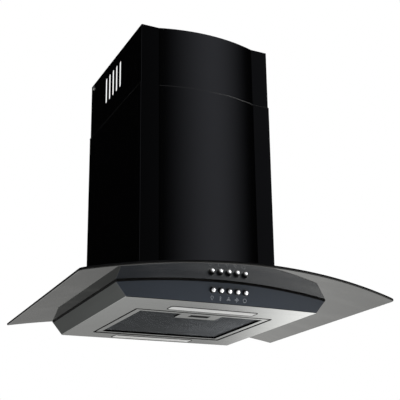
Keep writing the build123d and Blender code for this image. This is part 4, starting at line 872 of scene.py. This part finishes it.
class HOOD_OT_buttons(Operator):
    """Finishes the push buttons, turns their caps and prints a symbol under each"""

    bl_idname = "hood.buttons"
    bl_label = "Push buttons"

    def strokes(self, name):
        """Outlines of one generic symbol in a unit square about its middle, as (points, closed)."""
        if name == "light":
            bulb = arc((0.0, 0.14), 0.30, math.radians(-60), math.radians(240), steps=20)
            socket = [(-0.15, -0.12), (-0.15, -0.40), (0.15, -0.40), (0.15, -0.12)]
            return [(bulb, False), (socket, False)]
        if name == "stop":
            return [(ring((0.0, 0.0), 0.42, steps=24), True)]
        blades = FAN_BLADES[name]
        petal = [(0.24 + x, 0.6 * y) for x, y in ring((0.0, 0.0), 0.22, steps=16)]
        fan = []
        for blade in range(blades):
            turn = Matrix.Rotation(math.pi / 2 - blade * math.tau / blades, 2)
            fan.append(([tuple(turn @ Vector(point)) for point in petal], True))
        return fan

    def seat(self, node):
        """Middle of a cap's foot, the way the cap points, its radius and its height."""
        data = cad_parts[node].data
        out = max(data.polygons, key=lambda face: face.area).normal.copy()
        if out.y > 0:
            out.negate()
        heights = [vert.co.dot(out) for vert in data.vertices]
        foot, top = min(heights), max(heights)
        foot_limit = foot + (top - foot) / 100
        rim = [vert.co for vert, height in zip(data.vertices, heights) if height < foot_limit]
        low = Vector([min(spot[axis] for spot in rim) for axis in range(3)])
        high = Vector([max(spot[axis] for spot in rim) for axis in range(3)])
        return (low + high) / 2, out, (high.x - low.x) / 2, top - foot

    def cap(self, name, material):
        """Turned cap: a low rim, a bevel and a slightly crowned face."""
        node = name + "_button_cap"
        middle, out, reach, top = self.seat(node)
        face, edge = pieces().cap_face, pieces().cap_edge
        profile = [
            (reach, 0.0),
            (reach, 0.6 * edge),
            (reach - 0.3 * edge, edge),
            (face + 0.3 * edge, top - 0.6 * edge),
            (face - 0.1 * edge, top - 0.25 * edge),
            (face - 0.6 * edge, top - 0.08 * edge),
            (0.5 * face, top - 0.02 * edge),
            (0.2 * face, top),
        ]
        right = Vector((1, 0, 0))
        across = out.cross(right)
        loops = []
        for radius, height in profile:
            spots = ring((0.0, 0.0), radius, steps=40)
            loops.append([middle + out * height + right * a + across * b for a, b in spots])
        add_skin(name + "_turned_cap", loops, material, name + "_button", [node])

    def fascia_surface(self):
        """Function that drops a spot (x, z) onto the fascia, lifted by the print's thickness."""
        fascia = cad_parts["control_fascia"].data
        tree = BVHTree.FromPolygons(
            [vert.co for vert in fascia.vertices], [face.vertices for face in fascia.polygons]
        )
        lift = pieces().print_depth

        def drop(spot):
            hit, normal, _, _ = tree.ray_cast(Vector((spot.x, CAD_BOX[0].y, spot.y)), Vector((0, 1, 0)))
            return hit + normal * lift

        return drop

    def ribbon(self, mesh, points, closed, line, surface):
        """Flat line of even width along the points, laid on the fascia."""
        count = len(points)
        rails = []
        for index, point in enumerate(points):
            before = points[index - 1] if closed or index else point
            after = points[(index + 1) % count] if closed or index < count - 1 else point
            along = Vector((after[0] - before[0], after[1] - before[1])).normalized()
            aside = Vector((-along.y, along.x)) * line / 2
            rails.append([surface(Vector(point) + aside), surface(Vector(point) - aside)])
        pairs = [[mesh.verts.new(spot) for spot in rail] for rail in rails]
        for index in range(count if closed else count - 1):
            first, second = pairs[index], pairs[(index + 1) % count]
            mesh.faces.new((first[0], first[1], second[1], second[0]))

    def execute(self, context):
        size = pieces()
        barrel = moulded("button_plastic", (0.006, 0.006, 0.007), 0.3)
        paint(barrel, *[name + "_button" for name in BUTTONS])
        chrome = satin_chrome()
        for name in BUTTONS:
            self.cap(name, chrome)
        surface = self.fascia_surface()
        print_mesh, ring_mesh = bmesh.new(), bmesh.new()
        for name in BUTTONS:
            low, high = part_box(name + "_button_cap")
            x, z = (low.x + high.x) / 2, size.button_height
            base = z - size.symbol_drop
            for points, closed in self.strokes(name):
                spots = [(x + a * size.symbol_size, base + b * size.symbol_size) for a, b in points]
                self.ribbon(print_mesh, spots, closed, size.symbol_line, surface)
            bezel = ring((x, z), size.bezel_radius, steps=40)
            self.ribbon(ring_mesh, bezel, True, size.bezel_line, surface)
        solidify(print_mesh, size.print_depth)
        solidify(ring_mesh, size.bezel_depth)
        add_piece("fascia_symbols", print_mesh, symbol_print(), "hood_body")
        steel = plated("bezel_steel", (0.13, 0.135, 0.14))
        add_piece("button_bezels", ring_mesh, steel, "hood_body")
        return {"FINISHED"}


class HOOD_OT_lamps(Operator):
    """Finishes the lamps, with a dark gasket round each crowned lens and diodes on each board"""

    bl_idname = "hood.lamps"
    bl_label = "Lamps"

    def crown(self, end, low, high, material):
        """Crowned underside of a lens, inside its gasket."""
        size = pieces()
        middle = (low + high) / 2
        inset = size.lens_flange + size.gasket_width / 2
        half_x, half_y = high.x - middle.x - inset, high.y - middle.y - inset
        root = (1.0, -0.2)
        loops = []
        for side, depth in [root, *arc((0.0, 0.0), 1.0, 0.0, math.pi / 2, steps=6)]:
            shrink = (1.0 - side) * size.lens_crown
            radius = max(size.lens_corner - shrink, size.lens_inner_corner)
            plan = rounded_box(half_x - shrink, half_y - shrink, radius)
            z = low.z - depth * size.lens_drop
            loops.append([(middle.x + x, middle.y + y, z) for x, y in plan])
        add_skin(end + "_lens_crown", loops, material, "hood_body")

    def diodes(self, end, material):
        """Row of square diode packages under the board, each with one rounded corner."""
        size = pieces()
        low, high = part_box(end + "_led_board")
        middle = (low + high) / 2
        mesh = bmesh.new()
        half = size.chip_size / 2
        for index in range(size.chip_count):
            x = low.x + (high.x - low.x) * (index + 0.5) / size.chip_count
            corners = [(x - half, middle.y - half, 0.0), (x + half, middle.y - half, 0.0)]
            corners += [(x + half, middle.y + half, 0.0), (x - half, middle.y + half, half / 2)]
            add_prism(mesh, rounded(corners, steps=3), low.z - size.chip_height, low.z)
        add_piece(end + "_diodes", mesh, material, "hood_body")

    def execute(self, context):
        size = pieces()
        lens, tray, board, gasket = frosted_lens(), galvanised(), diode_board(), rubber()
        chip_plastic = moulded("diode_plastic", (0.78, 0.72, 0.38), 0.35)
        for end in LAMPS:
            paint(lens, end + "_lamp_lens")
            paint(tray, end + "_lamp_tray")
            paint(board, end + "_led_board")
            low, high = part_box(end + "_lamp_lens")
            middle = (low + high) / 2
            half_x = high.x - middle.x - size.lens_flange
            half_y = high.y - middle.y - size.lens_flange
            add_gasket(end + "_lamp_gasket", middle, half_x, half_y, size.lens_corner, gasket)
            self.crown(end, low, high, lens)
            self.diodes(end, chip_plastic)
        return {"FINISHED"}


class HOOD_OT_blower(Operator):
    """Finishes the blower and its motor"""

    bl_idname = "hood.blower"
    bl_label = "Blower"

    def execute(self, context):
        paint(moulded("scroll_plastic", (0.045, 0.045, 0.047)), "scroll_right", "scroll_left")
        paint(moulded("impeller_plastic", (0.16, 0.16, 0.16), 0.42), "impeller")
        paint(plated("shaft_steel", (0.62, 0.62, 0.61)), "motor_shaft", "impeller_nut", "motor_screws")
        paint(plated("motor_sheet", (0.30, 0.30, 0.31), 0.42), "motor_can", "motor_end_cover", "motor_rotor")
        paint(plated("sintered_bronze", (0.52, 0.34, 0.16), 0.5), "motor_bearings")
        paint(enamelled_wire(), "motor_stator")
        paint(galvanised(), "motor_bracket")
        paint(rubber(), "motor_rubbers")
        return {"FINISHED"}


class HOOD_OT_motor_box(Operator):
    """Finishes the motor box, its outlet, its electrics and its wall bracket"""

    bl_idname = "hood.motor_box"
    bl_label = "Motor box"

    def execute(self, context):
        paint(galvanised(), "motor_box", "outlet_flange", "wall_bracket")
        paint(moulded("collar_plastic", (0.02, 0.02, 0.021)), "outlet_spigot", "cable_gland", "switch_bank")
        paint(moulded("terminal_plastic", (0.035, 0.035, 0.036)), "terminal_box", "terminal_lid")
        paint(moulded("capacitor_plastic", (0.70, 0.70, 0.68), 0.4), "capacitor")
        paint(moulded("flap_plastic", (0.19, 0.19, 0.19)), "damper_flap_front", "damper_flap_rear")
        paint(plated("pin_steel", (0.60, 0.60, 0.58)), "damper_pin")
        return {"FINISHED"}


class HOOD_OT_screws(Operator):
    """Finishes the screws and marks the cross recess of the two that show"""

    bl_idname = "hood.screws"
    bl_label = "Screws"

    def cross(self):
        """Outline of the recess about the screw's axis."""
        arm, half = pieces().recess_size / 2, pieces().recess_size / 8
        points = []
        for quarter in range(4):
            turn = Matrix.Rotation(quarter * math.pi / 2, 2)
            points += [tuple(turn @ Vector(spot)) for spot in ((arm, -half), (arm, half), (half, half))]
        return points

    def execute(self, context):
        size = pieces()
        zinc = plated("zinc_screw_steel", (0.58, 0.58, 0.56), 0.28)
        paint(zinc, "glass_screws", "box_screws", "spigot_screws", "switch_screws", "chimney_screws")
        low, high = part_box("chimney_screws")
        middle = (low + high) / 2
        mesh = bmesh.new()
        for face, inward in ((low.x, 1), (high.x, -1)):
            loops = []
            for taper, depth in ((1.0, -size.recess_lift), (size.recess_taper, size.recess_depth)):
                x = face + inward * depth
                loops.append([(x, middle.y + a * taper, middle.z + b * taper) for a, b in self.cross()])
            add_band(mesh, loops)
        recess = moulded("recess_shadow", (0.02, 0.02, 0.02), 0.6)
        add_piece("screw_recesses", mesh, recess, "upper_chimney")
        return {"FINISHED"}


# Soft lights in the room that gloss mirrors: the bearings where each starts, is full, fades and ends

SIDE_SECTOR = (25.2, 35.8, 80, 115)
FRONT_SECTOR = (33, 44, 56, 74)
LAMP_SECTOR = (26, 48, 58, 76)
BOW_SECTOR = (-16, 27.5, 28, 64)
FOLD_SECTOR = (-110, -80, -60, -30)

# Heights and depths in that room, as sines of the angle from the horizon

LAMP_DEPTH = (0.30, 0.45, 0.62, 0.80)
FLOOR_DEPTH = (0.20, 0.30)
HORIZON = (-0.05, 0.12)
ZENITH = (0.75, 0.92)

# Tints of that room below and above the horizon, and of all other light

LOW_TINT = (1.0, 1.0, 0.975)
HIGH_TINT = (0.93, 0.96, 1.08)
WHITE = (1.0, 1.0, 1.0)


class HOOD_OT_stage(Operator):
    """Sets the camera, the pale floor and the soft light"""

    bl_idname = "hood.stage"
    bl_label = "Stage"

    def camera(self, studio):
        """Camera that sees the hood as the photograph does."""
        data = bpy.data.cameras.new("view_camera")
        data.sensor_width = 36.0
        data.lens = studio.focal
        data.shift_x, data.shift_y = studio.shift
        data.clip_start = 0.01
        data.clip_end = 100.0
        camera = bpy.data.objects.new("view_camera", data)
        aim = Matrix.Rotation(-studio.heading, 4, "Z")
        tilt = Matrix.Rotation(math.pi / 2 + studio.pitch, 4, "X")
        roll = Matrix.Rotation(studio.roll, 4, "Z")
        camera.matrix_world = Matrix.Translation(studio.place) @ aim @ tilt @ roll
        bpy.context.scene.collection.objects.link(camera)
        bpy.context.scene.camera = camera

    def world(self, studio):
        """White to the camera, even light to dull surfaces, and to gloss a dark room with soft lights."""
        world = bpy.data.worlds.new("white_studio")
        world.use_nodes = True
        bpy.context.scene.world = world
        nodes = Nodes(world.node_tree)
        seen, gloss, through = (
            nodes.node("ShaderNodeLightPath", {}, {}, f"Is {kind} Ray")
            for kind in ("Camera", "Glossy", "Transmission")
        )
        way = nodes.node("ShaderNodeTexCoord", {}, {}, "Generated")
        east, north, height = (nodes.split(way, axis) for axis in "XYZ")
        wallward = nodes.math("ARCTAN2", east, north)
        roomward = nodes.math("ARCTAN2", east, north * -1.0)
        depth = height * -1.0
        floor = nodes.step(depth, *FLOOR_DEPTH)
        side = studio.side_glow * nodes.sector(wallward, SIDE_SECTOR)
        front = studio.front_glow * nodes.sector(roomward, FRONT_SECTOR)
        lamp = studio.front_lamp * nodes.lobe(depth, *LAMP_DEPTH) * nodes.sector(roomward, LAMP_SECTOR)
        walls = studio.low_room + side + front
        low = walls * (1.0 - floor) + (studio.low_room + studio.floor_glow + lamp) * floor
        bow = studio.bow_glow * nodes.sector(roomward, BOW_SECTOR)
        fold = studio.fold_glow * nodes.sector(roomward, FOLD_SECTOR)
        high = studio.high_room + bow + fold + studio.overhead * nodes.step(height, *ZENITH)
        rise = nodes.step(height, *HORIZON)
        room = low * (1.0 - rise) + high * rise
        white = seen | through
        light = gloss * room + (1.0 - gloss) * studio.ambient
        background = world.node_tree.nodes["Background"]
        tint = nodes.mix(LOW_TINT, HIGH_TINT, rise)
        nodes.feed(background.inputs["Color"], nodes.mix(WHITE, tint, gloss))
        nodes.feed(background.inputs["Strength"], white + (1.0 - white) * light)

    def floor(self, studio):
        """Large pale disc that fades into the white behind it."""
        mesh = bmesh.new()
        bmesh.ops.create_circle(mesh, cap_ends=True, segments=96, radius=studio.floor_radius)
        data = bpy.data.meshes.new("pale_floor")
        mesh.to_mesh(data)
        mesh.free()
        finish = Finish("pale_floor", roughness=0.8)
        finish.set("Base Color", finish.shades(studio.floor, 0.99, 1.01, finish.noise(3.0)))
        reach = finish.node("ShaderNodeVectorMath", {"operation": "LENGTH"}, {0: finish.place()}, "Value")
        finish.set("Alpha", 1.0 - finish.step(reach, studio.floor_fade, studio.floor_end))
        data.materials.append(finish.material)
        floor = bpy.data.objects.new("pale_floor", data)
        floor.location.z = -studio.floor_drop
        floor.visible_glossy = False
        bpy.context.scene.collection.objects.link(floor)

    def panel(self, name, place, target, width, height, radiance, mirrored=False):
        """Soft panel light of a given brightness, aimed at a point."""
        light = bpy.data.lights.new(name, "AREA")
        light.shape = "RECTANGLE"
        light.size, light.size_y = width, height
        light.energy = radiance * math.pi * width * height
        lamp = bpy.data.objects.new(name, light)
        aim = (Vector(target) - Vector(place)).to_track_quat("-Z", "Y")
        lamp.matrix_world = Matrix.Translation(place) @ aim.to_matrix().to_4x4()
        lamp.visible_camera = False
        lamp.visible_glossy = mirrored
        bpy.context.scene.collection.objects.link(lamp)
        return lamp

    def light_only(self, lamp, names):
        """Keeps a panel's light to these pieces."""
        lit = bpy.data.collections.new(lamp.name + "_pieces")
        for name in names:
            lit.objects.link(bpy.data.objects[name])
        lamp.light_linking.receiver_collection = lit

    def execute(self, context):
        studio = context.scene.hood_studio
        context.scene.view_settings.view_transform = "Standard"
        self.camera(studio)
        self.world(studio)
        self.floor(studio)
        middle = (0.0, -0.2, 0.15)
        glint = self.panel(
            "button_glint", place=(0.923, -2.034, -0.646), target=(0.0, -0.39, 0.022),
            width=0.30, height=1.4, radiance=5.0, mirrored=True,
        )
        self.light_only(glint, [name + "_turned_cap" for name in BUTTONS])
        sheen = self.panel(
            "mesh_sheen", place=(0.50, -0.35, -0.60), target=(0.18, -0.18, 0.0),
            width=0.08, height=0.08, radiance=50.0, mirrored=True,
        )
        sheen.data.spread = math.radians(26)
        self.light_only(sheen, ["filter_lattice_lower", "filter_lattice_upper"])
        self.panel("front_fill", (-0.7, -2.2, 0.9), middle, width=1.6, height=1.6, radiance=1.6)
        self.panel("under_fill", (0.2, -0.5, -1.4), (0.0, -0.2, 0.0), width=2.0, height=2.0, radiance=0.9)
        self.panel("top_soft", (0.3, -0.2, 2.2), middle, width=2.0, height=2.0, radiance=1.2)
        return {"FINISHED"}


class HOOD_PT_panel(Panel):
    """Lists the hood's groups of pieces"""

    bl_idname = "HOOD_PT_panel"
    bl_label = "Chimney hood"
    bl_space_type = "VIEW_3D"
    bl_region_type = "UI"
    bl_category = "Hood"

    def draw(self, context):
        column = self.layout.column()
        for operator in OPERATORS:
            column.operator(operator.bl_idname)
        for group in (context.scene.hood_pieces, context.scene.hood_colours, context.scene.hood_studio):
            for name in group.bl_rna.properties.keys():
                if name not in ("rna_type", "name"):
                    column.prop(group, name)


GROUPS = {"hood_pieces": HoodPieces, "hood_colours": HoodColours, "hood_studio": HoodStudio}
OPERATORS = (
    HOOD_OT_chimney, HOOD_OT_body, HOOD_OT_glass, HOOD_OT_filter, HOOD_OT_buttons, HOOD_OT_lamps,
    HOOD_OT_blower, HOOD_OT_motor_box, HOOD_OT_screws, HOOD_OT_stage,
)


def register():
    for item in (*GROUPS.values(), *OPERATORS, HOOD_PT_panel):
        bpy.utils.register_class(item)
    for name, group in GROUPS.items():
        setattr(bpy.types.Scene, name, PointerProperty(type=group))


def unregister():
    for name in GROUPS:
        delattr(bpy.types.Scene, name)
    for item in reversed((*GROUPS.values(), *OPERATORS, HOOD_PT_panel)):
        bpy.utils.unregister_class(item)


def main():
    register()
    for operator in OPERATORS:
        family, name = operator.bl_idname.split(".")
        getattr(getattr(bpy.ops, family), name)()


if __name__ == "__main__":
    main()
